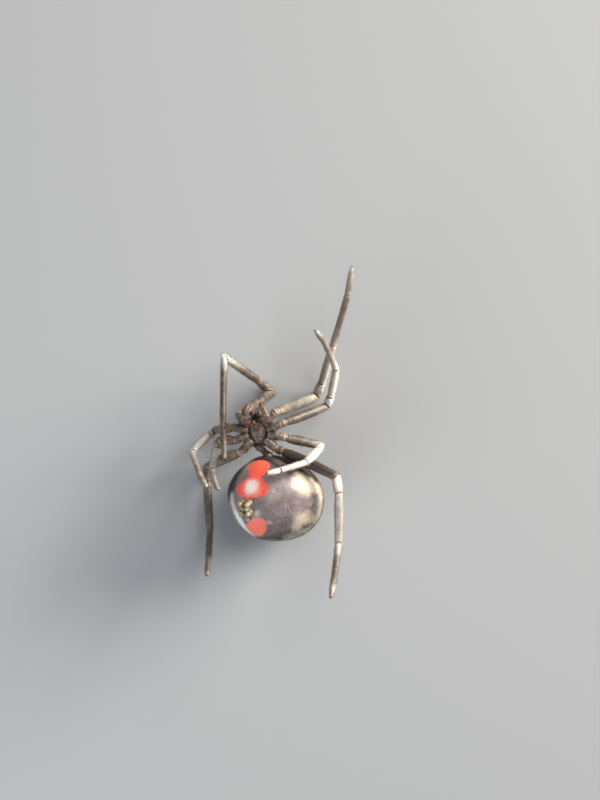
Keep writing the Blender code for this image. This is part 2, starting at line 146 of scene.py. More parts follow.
def follow(profile: tuple, shares: np.ndarray) -> np.ndarray:
    """Smooth curve through the points of a profile.

    Args:
        profile: pairs of share and value, in order.
        shares: where to read the curve.

    Returns:
        The curve's value at each share.
    """
    knots, values = np.array(profile, float).T
    slopes = np.gradient(values, knots)
    index = np.clip(np.searchsorted(knots, shares) - 1, 0, len(knots) - 2)
    width = knots[index + 1] - knots[index]
    part = (shares - knots[index]) / width
    rise = part * part * (3.0 - 2.0 * part)
    leaving = part * (1.0 - part) ** 2 * width * slopes[index]
    arriving = part * part * (part - 1.0) * width * slopes[index + 1]
    return values[index] * (1.0 - rise) + values[index + 1] * rise + leaving + arriving


def distances(points: np.ndarray) -> np.ndarray:
    """How far each point lies along the path through them all."""
    return np.concatenate(([0.0], np.cumsum(np.linalg.norm(np.diff(points, axis=0), axis=1))))


def curve(points: Any, count: int) -> np.ndarray:
    """Smooth path through some points.

    Args:
        points: places that the path goes through.
        count: how many places it gets.

    Returns:
        The path's places, one a row.
    """
    points = np.asarray(points, float)
    steps = distances(points)
    shares = np.linspace(0.0, steps[-1], count)
    columns = [follow(tuple(zip(steps, points[:, axis])), shares) for axis in range(3)]
    return np.stack(columns, axis=1)


def ellipsoid_reach(ways: np.ndarray, half: np.ndarray, middle: np.ndarray) -> np.ndarray:
    """How far an ellipsoid reaches along rays from the origin, which lies inside it.

    Args:
        ways: directions of length one.
        half: the ellipsoid's half sizes.
        middle: the ellipsoid's middle.

    Returns:
        Distance along each ray.
    """
    scaled, offset = ways / half, middle / half
    a = (scaled**2).sum(axis=1)
    b = scaled @ offset
    c = offset @ offset - 1.0
    return (b + np.sqrt(np.maximum(b * b - a * c, 0.0))) / a


def round_ways(subdivisions: int) -> tuple[np.ndarray, np.ndarray]:
    """Even directions all round.

    Args:
        subdivisions: how often the ball's faces are divided.

    Returns:
        The directions, and the triangles between them.
    """
    ball = bmesh.new()
    bmesh.ops.create_icosphere(ball, subdivisions=subdivisions, radius=1.0)
    ball.verts.ensure_lookup_table()
    ways = np.array([vert.co[:] for vert in ball.verts])
    tris = np.array([[vert.index for vert in face.verts] for face in ball.faces])
    ball.free()
    return unit(ways), tris


def round_spots(ways: np.ndarray) -> np.ndarray:
    """Places on the coat map of directions all round."""
    turn = np.arctan2(ways[:, 1], ways[:, 0]) / FULL_TURN + 0.5
    return np.stack((turn, ways[:, 2] / 2.0 + 0.5), axis=1)


@dataclass
class Shell:
    """Closed surface in millimetres, with marks that its finish reads and a place on the coat map."""

    places: np.ndarray
    tris: np.ndarray
    quads: np.ndarray = field(default_factory=lambda: np.zeros((0, 4), int))
    marks: dict[str, np.ndarray] = field(default_factory=dict)
    spots: np.ndarray | None = None
    finish: int = 0


@dataclass
class Roots:
    """Where hairs grow: places, directions out of the skin and along the lie, and coat map places."""

    places: np.ndarray
    outward: np.ndarray
    ahead: np.ndarray
    spots: np.ndarray

    def keep(self, wanted: np.ndarray) -> "Roots":
        """The roots that are wanted."""
        return Roots(self.places[wanted], self.outward[wanted], self.ahead[wanted], self.spots[wanted])


@dataclass
class Loft:
    """Tube made of rings from one end to the other."""

    rings: np.ndarray
    centres: np.ndarray
    marks: dict[str, np.ndarray] = field(default_factory=dict)

    def shell(self, finish: int = 0) -> Shell:
        """Closed surface over the rings.

        Args:
            finish: which of its piece's finishes it takes.

        Returns:
            The surface, closed by a point at each end.
        """
        count, sides = self.rings.shape[:2]
        poles = np.stack((self.rings[0].mean(axis=0), self.rings[-1].mean(axis=0)))
        places = np.concatenate((self.rings.reshape(-1, 3), poles))
        ring = np.arange(count * sides).reshape(count, sides)
        after = np.roll(ring, -1, axis=1)
        quads = np.stack((ring[:-1], after[:-1], after[1:], ring[1:]), axis=-1).reshape(-1, 4)
        start = np.full(sides, count * sides)
        tris = np.concatenate(
            (
                np.stack((after[0], ring[0], start), axis=-1),
                np.stack((ring[-1], after[-1], start + 1), axis=-1),
            )
        )
        marks = {}
        for name, values in self.marks.items():
            if values.ndim == 1:
                values = np.repeat(values[:, None], sides, axis=1)
            marks[name] = np.concatenate((values.ravel(), (values[0].mean(), values[-1].mean())))
        return Shell(places, tris, quads, marks, finish=finish)

    def roots(self, random: np.random.Generator, count: int, band: tuple, span: tuple) -> Roots:
        """Scattered hair roots over the tube.

        Args:
            random: source of the scatter.
            count: how many.
            band: lowest and highest place of this tube along the coat map.
            span: shares of the length between which hairs grow.

        Returns:
            The roots.
        """
        rings, sides = self.rings.shape[:2]
        along = random.uniform(span[0], span[1], count) * (rings - 1)
        round_it = random.uniform(0.0, sides, count)
        ring, side = np.minimum(along.astype(int), rings - 2), round_it.astype(int) % sides
        after = (side + 1) % sides
        part, turn = (along - ring)[:, None], (round_it % 1.0)[:, None]
        near = self.rings[ring, side] * (1.0 - turn) + self.rings[ring, after] * turn
        far = self.rings[ring + 1, side] * (1.0 - turn) + self.rings[ring + 1, after] * turn
        places = near * (1.0 - part) + far * part
        centres = self.centres[ring] * (1.0 - part) + self.centres[ring + 1] * part
        ahead = unit(self.centres[-1] - self.centres[0]) * np.ones((count, 1))
        outward = places - centres
        outward = unit(outward - ahead * (outward * ahead).sum(axis=1, keepdims=True))
        across = round_it / sides
        lengthways = band[0] + (band[1] - band[0]) * along / (rings - 1)
        return Roots(places, outward, ahead, np.stack((across, lengthways), axis=1) * MAP_SHARE)


def tube(path: np.ndarray, radii: np.ndarray, side: Any, sides: int = 24, flat: float = 1.0) -> Loft:
    """Loft of rings along a path.

    Args:
        path: centres of the rings.
        radii: radius of each ring.
        side: rough direction that the rings keep to one side, so that the tube isn't twisted.
        sides: points in a ring.
        flat: breadth of the ring along that side as a share of its height.

    Returns:
        The tube.
    """
    ahead = unit(np.gradient(path, axis=0))
    level = np.asarray(side, float) * np.ones_like(path)
    level = unit(level - ahead * (level * ahead).sum(axis=1, keepdims=True))
    upright = np.cross(level, ahead)
    turns = np.linspace(0.0, FULL_TURN, sides, endpoint=False)
    spokes = upright[:, None] * np.cos(turns)[None, :, None]
    spokes = spokes + level[:, None] * np.sin(turns)[None, :, None] * flat
    return Loft(path[:, None] + spokes * np.asarray(radii)[:, None, None], path)


def rounded(count: int, start: float, end: float) -> np.ndarray:
    """Radius shares that round off the ends of a tube.

    Args:
        count: how many rings the tube has.
        start: share of its length over which it opens.
        end: share of its length over which it closes.

    Returns:
        A share for each ring.
    """
    shares = np.linspace(0.0, 1.0, count)
    radii = np.ones(count)
    for away, span in ((shares, start), (1.0 - shares, end)):
        part = np.clip(away / span, 0.0, 1.0)
        radii *= np.sqrt(np.maximum(1.0 - (1.0 - part) ** 2, LEAST_END))
    return radii


@dataclass(frozen=True)
class Hair:
    """One kind of hair: its usual length, the radius at its root, its lean and its curl.

    The lean is 0 for hairs that stand straight out and 1 for hairs that lie along the skin. The curl is
    how far the outer half bends on. The spreads are how much the hairs differ from one another.
    """

    length: float
    radius: float
    lean: float
    curl: float
    length_spread: tuple = (0.65, 1.25)
    side_spread: float = 0.16
    lean_spread: float = 0.05
    waist: float = 0.7

    def grow(self, roots: Roots, random: np.random.Generator, tone: float = 0.0) -> Shell:
        """Solid hairs, each a thin three-sided spike that bends along the lie.

        Args:
            roots: where they grow.
            random: source of their small differences.
            tone: what is added to how pale they are.

        Returns:
            All the hairs as one surface.
        """
        count = len(roots.places)
        lengths = (self.length * random.uniform(*self.length_spread, count))[:, None]
        aside = unit(np.cross(roots.outward, roots.ahead))
        aside = aside * random.normal(0.0, self.side_spread, count)[:, None]
        stand = self.lean + random.normal(0.0, self.lean_spread, count)[:, None]
        way = unit(roots.ahead * stand + roots.outward * (1.0 - stand) + aside)
        onward = unit(way + roots.ahead * self.curl)
        base = roots.places - roots.outward * self.radius
        middle = base + way * lengths * 0.5
        tip = middle + onward * lengths * 0.5
        across = unit(np.cross(way, roots.outward + 0.01))
        upright = np.cross(way, across)
        corners = []
        for centre, share in ((base, 1.0), (middle, self.waist)):
            for side in range(3):
                turn = FULL_TURN * side / 3.0
                spoke = across * math.cos(turn) + upright * math.sin(turn)
                corners.append(centre + spoke * self.radius * share)
        places = np.stack((*corners, tip), axis=1).reshape(-1, 3)
        first = (np.arange(count) * HAIR_CORNERS)[:, None, None]
        tris = first + np.array([[3, 4, 6], [4, 5, 6], [5, 3, 6], [2, 1, 0]])
        quads = first + np.array([[0, 1, 4, 3], [1, 2, 5, 4], [2, 0, 3, 5]])
        patch = np.array([[0, 0], [1, 0], [2, 0], [0, 1], [1, 1], [2, 1], [1, 2]]) * COAT_PATCH / 2.0
        spots = (roots.spots[:, None] + patch).reshape(-1, 2)
        strand = np.repeat(np.clip(random.uniform(0.0, 1.0, count) + tone, 0.0, 1.0), HAIR_CORNERS)
        return Shell(places, tris.reshape(-1, 3), quads.reshape(-1, 4), {"strand": strand}, spots)


def make_piece(
    name: str,
    shells: list[Shell],
    materials: list[bpy.types.Material],
    replaced: tuple[str, ...] = (),
) -> bpy.types.Object:
    """One piece of the model from its surfaces.

    Args:
        name: the piece's name.
        shells: its surfaces.
        materials: its finishes, which the surfaces pick by number.
        replaced: the solids that it stands for.

    Returns:
        The piece, riding on the body.
    """
    firsts = np.cumsum([0] + [len(shell.places) for shell in shells])
    places = np.concatenate([shell.places for shell in shells]) + SHIFT
    places[:, 2] = np.maximum(places[:, 2], 0.0)
    quads = np.concatenate([shell.quads + first for shell, first in zip(shells, firsts)])
    tris = np.concatenate([shell.tris + first for shell, first in zip(shells, firsts)])
    corners = np.concatenate((quads.ravel(), tris.ravel())).astype(np.int32)
    starts = np.concatenate((np.arange(len(quads)) * 4, len(quads) * 4 + np.arange(len(tris)) * 3))
    mesh = bpy.data.meshes.new(name)
    mesh.vertices.add(len(places))
    mesh.vertices.foreach_set("co", (places * MM).astype(np.float32).ravel())
    mesh.loops.add(len(corners))
    mesh.loops.foreach_set("vertex_index", corners)
    mesh.polygons.add(len(starts))
    mesh.polygons.foreach_set("loop_start", starts.astype(np.int32))
    finishes = [np.full(len(shell.quads), shell.finish) for shell in shells]
    finishes += [np.full(len(shell.tris), shell.finish) for shell in shells]
    mesh.update(calc_edges=True)
    mesh.polygons.foreach_set("material_index", np.concatenate(finishes).astype(np.int32))
    for mark in sorted({mark for shell in shells for mark in shell.marks}):
        values = [shell.marks.get(mark, np.zeros(len(shell.places))) for shell in shells]
        attribute = mesh.attributes.new(mark, "FLOAT", "POINT")
        attribute.data.foreach_set("value", np.concatenate(values).astype(np.float32))
    if shells[0].spots is not None:
        spots = np.concatenate([shell.spots for shell in shells])
        coat_map = mesh.uv_layers.new(name=COAT_MAP)
        coat_map.data.foreach_set("uv", spots[corners].astype(np.float32).ravel())
    mesh.shade_smooth()
    for material in materials:
        mesh.materials.append(material)
    piece = bpy.data.objects.new(name, mesh)
    bpy.context.scene.collection.objects.link(piece)
    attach(piece, BODY)
    if replaced:
        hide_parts(*replaced)
    log.info("%s: %d faces", name, len(starts))
    return piece


# Shader tools


class Wire:
    """Output socket of a material's graph that takes part in Python expressions."""

    def __init__(self, graph: "Graph", socket: bpy.types.NodeSocket) -> None:
        """Keep the graph and the socket.

        Args:
            graph: the graph that the socket is in.
            socket: the output socket.
        """
        self.graph = graph
        self.socket = socket

    def __add__(self, other: Any) -> "Wire":
        """Sum."""
        return self.graph.maths("ADD", self, other)

    def __sub__(self, other: Any) -> "Wire":
        """Difference."""
        return self.graph.maths("SUBTRACT", self, other)

    def __rsub__(self, other: Any) -> "Wire":
        """Difference from a number."""
        return self.graph.maths("SUBTRACT", other, self)

    def __mul__(self, other: Any) -> "Wire":
        """Product."""
        return self.graph.maths("MULTIPLY", self, other)

    def __truediv__(self, other: Any) -> "Wire":
        """Quotient."""
        return self.graph.maths("DIVIDE", self, other)

    def __neg__(self) -> "Wire":
        """The negative."""
        return self.graph.maths("MULTIPLY", self, -1.0)

    __radd__ = __add__
    __rmul__ = __mul__


class Graph:
    """Node graph of one material."""

    def __init__(self, name: str) -> None:
        """Start a graph that ends in a Principled shader.

        Args:
            name: the material's name.
        """
        self.material = bpy.data.materials.new(name)
        self.material.use_nodes = True
        self.tree = self.material.node_tree
        self.shader = self.tree.nodes["Principled BSDF"]
        self.object_place = self.node("ShaderNodeTexCoord").outputs["Object"]

    def node(self, kind: str, settings: dict | None = None, inputs: dict | None = None) -> bpy.types.Node:
        """Any node.

        Args:
            kind: the node's type.
            settings: its own settings, set first. "stops" gives a ramp's stops.
            inputs: values or links of its sockets, by name or number.

        Returns:
            The node.
        """
        made = self.tree.nodes.new(kind)
        for setting, value in (settings or {}).items():
            if setting == "stops":
                self.set_stops(made.color_ramp, value)
            else:
                setattr(made, setting, value)
        for socket, value in (inputs or {}).items():
            self.feed(made.inputs[socket], value)
        return made

    def set_stops(self, ramp: bpy.types.ColorRamp, stops: list) -> None:
        """Give a ramp its stops.

        Args:
            ramp: the ramp.
            stops: each a place and a colour.
        """
        while len(ramp.elements) < len(stops):
            ramp.elements.new(1.0)
        for element, (place, colour) in zip(ramp.elements, stops):
            element.position = place
            element.color = (*colour, 1.0)

    def feed(self, socket: bpy.types.NodeSocket, value: Any) -> None:
        """Link to a socket, or set the socket's own value.

        Args:
            socket: the socket.
            value: a wire or another node's socket to link, or else a number, colour or vector.
        """
        if isinstance(value, Wire):
            self.tree.links.new(value.socket, socket)
        elif isinstance(value, bpy.types.NodeSocket):
            self.tree.links.new(value, socket)
        elif isinstance(value, tuple) and socket.type == "RGBA":
            socket.default_value = (*value, 1.0)
        else:
            socket.default_value = value

    def maths(self, operation: str, *terms: Any) -> Wire:
        """Math node on wires and numbers."""
        made = self.node("ShaderNodeMath", {"operation": operation}, dict(enumerate(terms)))
        return Wire(self, made.outputs[0])

    def clamp(self, value: Wire) -> Wire:
        """Value kept from 0 to 1."""
        made = self.node("ShaderNodeClamp", None, {"Value": value})
        return Wire(self, made.outputs[0])

    def step(self, value: Any, low: float, high: float) -> Wire:
        """Smooth rise between two values.

        Args:
            value: what rises.
            low: where the result is still zero.
            high: where it is one.

        Returns:
            The result, from 0 to 1.
        """
        inputs = {"Value": value, "From Min": low, "From Max": high}
        made = self.node("ShaderNodeMapRange", {"interpolation_type": "SMOOTHSTEP"}, inputs)
        return Wire(self, made.outputs[0])

    def mix(self, factor: Any, first: Any, second: Any) -> Wire:
        """Mix of two colours.

        Args:
            factor: share of the second.
            first: a colour or wire.
            second: a colour or wire.

        Returns:
            The mixed colour.
        """
        made = self.node("ShaderNodeMix", {"data_type": "RGBA"})
        for socket, value in ((0, factor), (6, first), (7, second)):
            self.feed(made.inputs[socket], value)
        return Wire(self, made.outputs[2])

    def noise(self, size: float, detail: float = 3.0, roughness: float = 0.55) -> Wire:
        """Noise over the object's own places.

        Args:
            size: size of its features in millimetres.
            detail: how many finer layers it has.
            roughness: how strong those are.

        Returns:
            The noise, about 0.5 on average.
        """
        inputs = {"Vector": self.object_place, "Scale": 1.0 / (size * MM)}
        inputs.update({"Detail": detail, "Roughness": roughness})
        return Wire(self, self.node("ShaderNodeTexNoise", None, inputs).outputs[0])

    def cells(self, size: float) -> Wire:
        """Distance to the middles of cells of the size given in millimetres."""
        inputs = {"Vector": self.object_place, "Scale": 1.0 / (size * MM)}
        return Wire(self, self.node("ShaderNodeTexVoronoi", None, inputs).outputs["Distance"])

    def mark(self, name: str) -> Wire:
        """Number stored at the points of the mesh."""
        return Wire(self, self.node("ShaderNodeAttribute", {"attribute_name": name}).outputs["Fac"])

    def along(self, place: Wire, way: np.ndarray) -> Wire:
        """How far a place lies along a direction."""
        made = self.node("ShaderNodeVectorMath", {"operation": "DOT_PRODUCT"}, {0: place, 1: tuple(way)})
        return Wire(self, made.outputs["Value"])

    def from_point(self, point: np.ndarray) -> Wire:
        """The object's own places measured from a point.

        Args:
            point: the point, in metres.

        Returns:
            The way from the point to the shaded place.
        """
        inputs = {0: self.object_place, 1: tuple(point)}
        made = self.node("ShaderNodeVectorMath", {"operation": "SUBTRACT"}, inputs)
        return Wire(self, made.outputs["Vector"])

    def finish(
        self, colour: Any, roughness: Any, height: Wire | None = None, depth: float = 0.0, **constants: Any
    ) -> bpy.types.Material:
        """Connect the shader.

        Args:
            colour: base colour.
            roughness: a number or wire.
            height: what the bump reads, in bump depths.
            depth: depth of the bump in millimetres.
            constants: other sockets' own values, with underscores for spaces.

        Returns:
            The material.
        """
        self.feed(self.shader.inputs["Base Color"], colour)
        self.feed(self.shader.inputs["Roughness"], roughness)
        if height is not None:
            bump = self.node("ShaderNodeBump", None, {"Height": height, "Distance": depth * MM})
            self.tree.links.new(bump.outputs["Normal"], self.shader.inputs["Normal"])
        for socket, value in constants.items():
            self.shader.inputs[socket.replace("_", " ")].default_value = value
        return self.material


# Finishes


class Globe:
    """Where a shaded place is over the abdomen."""

    def __init__(self, graph: Graph, middle: np.ndarray, axes: np.ndarray) -> None:
        """Work out the directions and angles of the shaded place.

        Args:
            graph: the material's graph.
            middle: the abdomen's middle, in metres.
            axes: its directions.
        """
        place = graph.from_point(middle)
        ahead, left, back = (graph.along(place, axes[:, axis]) for axis in range(3))
        reach = graph.maths("SQRT", ahead * ahead + left * left + back * back)
        self.graph = graph
        self.way = (ahead / reach, left / reach, back / reach)
        self.along = graph.maths("ARCTAN2", -back, ahead) * (360.0 / FULL_TURN)
        self.across = graph.maths("ARCSINE", left / reach) * (360.0 / FULL_TURN)

    def near(self, at: float, aside: float, inner: float, outer: float, ruffle: Any) -> Wire:
        """Mask of the places near one direction.

        Args:
            at: degrees from forward towards the belly.
            aside: degrees towards the spider's own left.
            inner: degrees from the direction up to which the mask is one.
            outer: degrees from which it is zero.
            ruffle: what is added to the closeness, which frays the edge.

        Returns:
            The mask.
        """
        x, y, z = direction(at, aside)
        closeness = self.way[0] * x + self.way[1] * y + self.way[2] * z
        low, high = math.cos(math.radians(outer)), math.cos(math.radians(inner))
        return self.graph.step((closeness - low) / (high - low) + ruffle, 0.0, 1.0)


@dataclass(frozen=True)
class Markings:
    """The red hourglass and rear spot, in degrees over the abdomen.

    Each edge of the hourglass is the angle from forward towards the belly, then how far its right and left
    edges lie towards the left. A ramp holds them as shares of its reach.
    """

    edges: tuple = (
        (46.0, 3.3, -4.7),
        (48.5, -8.7, 4.3),
        (52.0, -15.2, 11.3),
        (57.0, -18.7, 14.8),
        (63.0, -15.7, 16.8),
        (70.0, -7.7, 14.3),
        (75.0, -3.2, 12.8),
        (79.0, -7.7, 17.3),
        (83.0, -12.7, 21.3),
        (88.0, -17.2, 24.8),
        (93.0, -20.2, 23.8),
        (98.0, -14.7, 21.3),
        (102.0, -6.7, 8.3),
        (105.0, 5.3, -2.7),
    )
    reach: float = 60.0
    softness: float = 1.1
    spot_middle: tuple = (141.5, 4.6)
    spot_half: tuple = (17.0, 14.0)
    spot_skew: float = 0.40
    spot_softness: float = 0.06
    waver: float = 5.0
    waver_size: float = 0.55
    spot_waver: float = 1.4

    def red(self, graph: Graph, along: Wire, across: Wire) -> Wire:
        """Mask of the red marks.

        Args:
            graph: the material's graph.
            along: degrees from forward towards the belly.
            across: degrees towards the left.

        Returns:
            One inside the marks and zero outside.
        """
        first, last = self.edges[0][0], self.edges[-1][0]
        stops = []
        for angle, right_edge, left_edge in self.edges:
            colour = (right_edge / self.reach + 0.5, left_edge / self.reach + 0.5, 0.0)
            stops.append(((angle - first) / (last - first), colour))
        wander = (graph.noise(self.waver_size, 2.0) - 0.5) * self.waver
        share = (along + wander - first) / (last - first)
        ramp = graph.node("ShaderNodeValToRGB", {"stops": stops}, {"Fac": share})
        parts = graph.node("ShaderNodeSeparateColor", None, {"Color": ramp.outputs["Color"]})
        low, high = ((Wire(graph, parts.outputs[part]) - 0.5) * self.reach for part in range(2))
        inside = graph.maths("MINIMUM", across + wander - low, high - across - wander)
        hourglass = graph.step(inside, -self.softness, self.softness)
        behind = along + wander * self.spot_waver - self.spot_middle[0]
        far_along = behind / self.spot_half[0]
        far_across = (across + wander + behind * self.spot_skew - self.spot_middle[1]) / self.spot_half[1]
        far = graph.maths("SQRT", far_along * far_along + far_across * far_across)
        spot = graph.step(1.0 - far, -self.spot_softness, self.spot_softness)
        return graph.maths("MAXIMUM", hourglass, spot)


@dataclass(frozen=True)
class AbdomenSkin:
    """Satin abdomen skin with red marks, painted highlights and painted shade, which the coat carries too.

    Each row of a table of marks is the angle from forward towards the belly, the angle towards the left,
    how far the mark is full and where it ends, all in degrees, and its strength. Each edge of the painted
    shade is how much the mottling ruffles it, then the angles at which it starts and is full.
    """

    middle: np.ndarray
    axes: np.ndarray
    marks: Markings = Markings()
    ground: Colour = (0.150, 0.108, 0.120)
    pale: Colour = (0.285, 0.220, 0.232)
    shade: Colour = (0.046, 0.029, 0.027)
    # Near black of the painted shade on the front and the right flank
    front: Colour = (0.012, 0.007, 0.006)
    # Pinks of the hourglass's paler middle: partly its own colour and partly a painted highlight
    red_centre_sheen: Colour = (1.0, 0.50, 0.38)
    red_centre_glint: Colour = (1.0, 0.84, 0.78)
    red: Colour = (0.88, 0.070, 0.042)
    crimson: Colour = (0.50, 0.020, 0.016)
    orange: Colour = (0.90, 0.120, 0.040)
    rear: Colour = (1.0, 0.225, 0.140)
    lung: Colour = (0.26, 0.17, 0.12)
    # Cream of the painted highlights and rim light
    highlight_cream: Colour = (0.82, 0.71, 0.52)
    # Bluish white of the painted rim reflection
    rim_reflection_white: Colour = (0.93, 0.96, 0.90)
    # Dark brown of the painted shadows
    shadow_brown: Colour = (0.040, 0.019, 0.009)
    sheen: Colour = (1.0, 0.96, 0.88)
    neck_edge: tuple = (16.0, 47.0, 62.0)
    flank_edge: tuple = (14.0, 15.0, 30.0)
    flank_end: tuple = (20.0, 96.0, 118.0)
    back_edge: tuple = (24.0, 148.0, 176.0)
    far_edge: tuple = (14.0, 40.0, 56.0)
    left_fade: tuple = (52.0, 66.0)
    orange_edge: tuple = (24.0, 58.0, 78.0)
    rear_edge: tuple = (118.0, 128.0)
    lung_marks: tuple = ((41.0, -19.0, 4.0, 9.0, 0.22), (41.0, 19.0, 4.0, 9.0, 0.22))
    # Paler middle of the hourglass, partly its own colour and partly a painted highlight
    red_centre_sheen_mark: tuple = (89.5, 4.0, 2.0, 17.0, 0.55)
    red_centre_glint_mark: tuple = (88.5, 3.5, 0.0, 11.0)
    # Painted highlights and rim light, in cream
    painted_highlight_marks: tuple = (
        (47.0, 61.0, 5.0, 21.0, 0.56),
        (40.0, 70.0, 2.0, 13.0, 0.36),
        (4.0, 68.0, 3.0, 16.0, 0.36),
        (-38.0, 67.0, 3.0, 18.0, 0.38),
        (-85.0, 72.0, 3.0, 17.0, 0.22),
        (-126.0, 60.0, 3.0, 15.0, 0.20),
        (-156.0, 46.0, 3.0, 13.0, 0.48),
        (-163.0, 30.0, 3.0, 12.0, 0.46),
        (-166.0, 18.0, 2.0, 11.0, 0.46),
        (176.0, 8.0, 2.0, 11.0, 0.26),
        (162.0, 59.0, 0.0, 16.0, 0.44),
        (170.0, 68.0, 0.0, 14.0, 0.42),
        (-164.0, 66.0, 0.0, 12.0, 0.30),
        (168.0, 51.0, 1.0, 11.0, 0.30),
        (180.0, 47.0, 0.0, 12.0, 0.44),
        (119.0, 12.0, 0.0, 5.0, 0.34),
        (134.0, 24.0, 0.0, 4.5, 0.40),
        (92.0, 30.0, 2.0, 14.0, 0.14),
        (98.0, -2.0, 0.0, 5.0, 0.45),
        (179.0, 32.0, 0.0, 11.0, 0.34),
    )
    # Painted rim reflection along the edge on the spider's right, in bluish white
    painted_rim_marks: tuple = (
        (103.0, -28.5, 0.0, 8.5, 0.34),
        (112.0, -27.0, 0.0, 9.0, 0.34),
        (121.0, -25.5, 0.0, 11.0, 0.32),
        (130.0, -22.5, 2.0, 12.5, 0.86),
        (139.0, -21.0, 4.0, 14.5, 1.0),
        (149.0, -19.5, 4.0, 13.0, 1.0),
        (161.0, -17.0, 3.0, 12.0, 0.86),
    )
    # Painted shadow of the leg lying over the globe, and lighter painted shade further back
    painted_shadow_marks: tuple = (
        (18.0, 40.0, 5.0, 11.0, 0.99),
        (7.0, 49.0, 7.0, 12.0, 1.0),
        (-12.0, 56.0, 5.0, 10.5, 0.99),
        (99.0, 63.0, 4.0, 17.0, 0.34),
        (142.0, 46.0, 2.0, 12.0, 0.34),
    )

    def edge(self, angle: Wire, coarse: Wire, shape: tuple) -> Wire:
        """Zero before an edge across an angle and one behind it, ruffled by the coarse mottling."""
        ruffle, start, full = shape
        return angle.graph.step(angle + (coarse - 0.5) * ruffle, start, full)

    def share(self, globe: Globe, mark: tuple, ruffle: Wire) -> Wire:
        """Share of the colour of one row of a table of marks."""
        *place, strength = mark
        return globe.near(*place, ruffle) * strength

    def painted_shade_share(self, globe: Globe, coarse: Wire) -> Wire:
        """Mask of painted shade, near black, on the front and the right flank, and of darker skin behind.

        Args:
            globe: where the shaded place is.
            coarse: the coarse mottling, which ruffles the edge.

        Returns:
            One where the skin is darkest.
        """
        graph, along, across = globe.graph, globe.along, globe.across
        neck = 1.0 - self.edge(along, coarse, self.neck_edge)
        side = self.edge(-across, coarse, self.flank_edge)
        flank = side * (1.0 - self.edge(along, coarse, self.flank_end))
        behind = self.edge(along, coarse, self.back_edge)
        left_side = 1.0 - graph.step(across, *self.left_fade) * 0.72
        right_side = graph.maths("MAXIMUM", flank, self.edge(-across, coarse, self.far_edge))
        return graph.maths("MAXIMUM", graph.maths("MAXIMUM", neck, behind) * left_side, right_side)

    def markings(self, graph: Graph) -> tuple[Wire, Wire, Wire]:
        """Colour of the skin and its marks.

        Args:
            graph: the material's graph.

        Returns:
            The colour, the mask of the red marks and the mask of painted shade and dark skin.
        """
        globe = Globe(graph, self.middle, self.axes)
        coarse = graph.noise(1.4, 4.0, 0.6)
        fine = graph.noise(0.22, 3.0, 0.6)
        ground = graph.mix(graph.step(coarse, 0.35, 0.72), self.ground, self.pale)
        ground = graph.mix(graph.step(fine, 0.45, 0.75) * 0.55, ground, self.shade)
        under = graph.step(globe.along, 118.0, 172.0) * graph.step(graph.noise(0.8, 3.0), 0.30, 0.62)
        ground = graph.mix(under * 0.75, ground, self.shade)
        # Painted shade: near black on the front by the waist and on the right flank, and darker towards the
        # rear
        dark = self.painted_shade_share(globe, coarse)
        ground = graph.mix(dark * 0.96, ground, self.front)
        ruffle = (fine - 0.5) * 1.1 + (coarse - 0.5) * 0.8
        # Painted highlights and painted rim reflections laid over the skin
        for marks, colour in ((self.painted_highlight_marks, self.highlight_cream), (self.painted_rim_marks, self.rim_reflection_white)):
            for mark in marks:
                ground = graph.mix(self.share(globe, mark, ruffle), ground, colour)
        # Painted shadows, which also count as painted shade for the gloss and the hairs
        for mark in self.painted_shadow_marks:
            share = self.share(globe, mark, ruffle * 0.5)
            ground = graph.mix(share, ground, self.shadow_brown)
            dark = graph.maths("MAXIMUM", dark, share)
        for mark in self.lung_marks:
            ground = graph.mix(self.share(globe, mark, ruffle * 0.5), ground, self.lung)
        front = 1.0 - self.edge(globe.along, coarse, self.orange_edge)
        red = graph.mix(front * 0.55, self.red, self.orange)
        red = graph.mix(graph.step(fine, 0.50, 0.85) * 0.5, red, self.crimson)
        # Paler middle of the hourglass: partly its own colour, partly a painted highlight
        red = graph.mix(self.share(globe, self.red_centre_sheen_mark, ruffle), red, self.red_centre_sheen)
        red = graph.mix(globe.near(*self.red_centre_glint_mark, ruffle * 0.8), red, self.red_centre_glint)
        red = graph.mix(graph.step(globe.along, *self.rear_edge) * 0.75, red, self.rear)
        mask = self.marks.red(graph, globe.along, globe.across)
        return graph.mix(mask, ground, red), mask, dark

    def make(self) -> bpy.types.Material:
        """The skin's material."""
        graph = Graph("abdomen_skin")
        colour, mask, dark = self.markings(graph)
        pores = graph.step(graph.cells(0.13), 0.05, 0.42)
        creases = graph.noise(0.10, 3.0, 0.6)
        wrinkles = graph.noise(0.42, 2.0)
        height = pores * 0.45 + creases * 0.35 + wrinkles * 0.9
        roughness = 0.38 + creases * 0.16 + mask * 0.06 + (1.0 - pores) * 0.10 + dark * 0.42
        gloss = {"Coat_Weight": 0.28, "Coat_Roughness": 0.45}
        sheen = {"Sheen_Weight": 0.05, "Sheen_Roughness": 0.32, "Sheen_Tint": (*self.sheen, 1.0)}
        return graph.finish(colour, roughness, height, 0.022, **gloss, **sheen)


@dataclass(frozen=True)
class AbdomenHair:
    """Fine pale hairs of the abdomen, tinted by the marks, painted highlights and shade they stand on."""

    skin: AbdomenSkin
    pale: Colour = (0.78, 0.71, 0.62)
    warm: Colour = (0.46, 0.36, 0.28)

    def make(self) -> bpy.types.Material:
        """The coat's material."""
        graph = Graph("abdomen_hair")
        skin_colour, mask, dark = self.skin.markings(graph)
        own = graph.mix(graph.step(graph.mark("strand"), 0.1, 0.9), self.warm, self.pale)
        # The hairs fade into the skin where shade is painted on it
        share = 0.72 - graph.maths("MAXIMUM", dark * 0.70, mask * 0.30)
        colour = graph.mix(share, skin_colour, own)
        roughness = 0.34 + graph.noise(0.3, 2.0) * 0.18
        return graph.finish(colour, roughness)


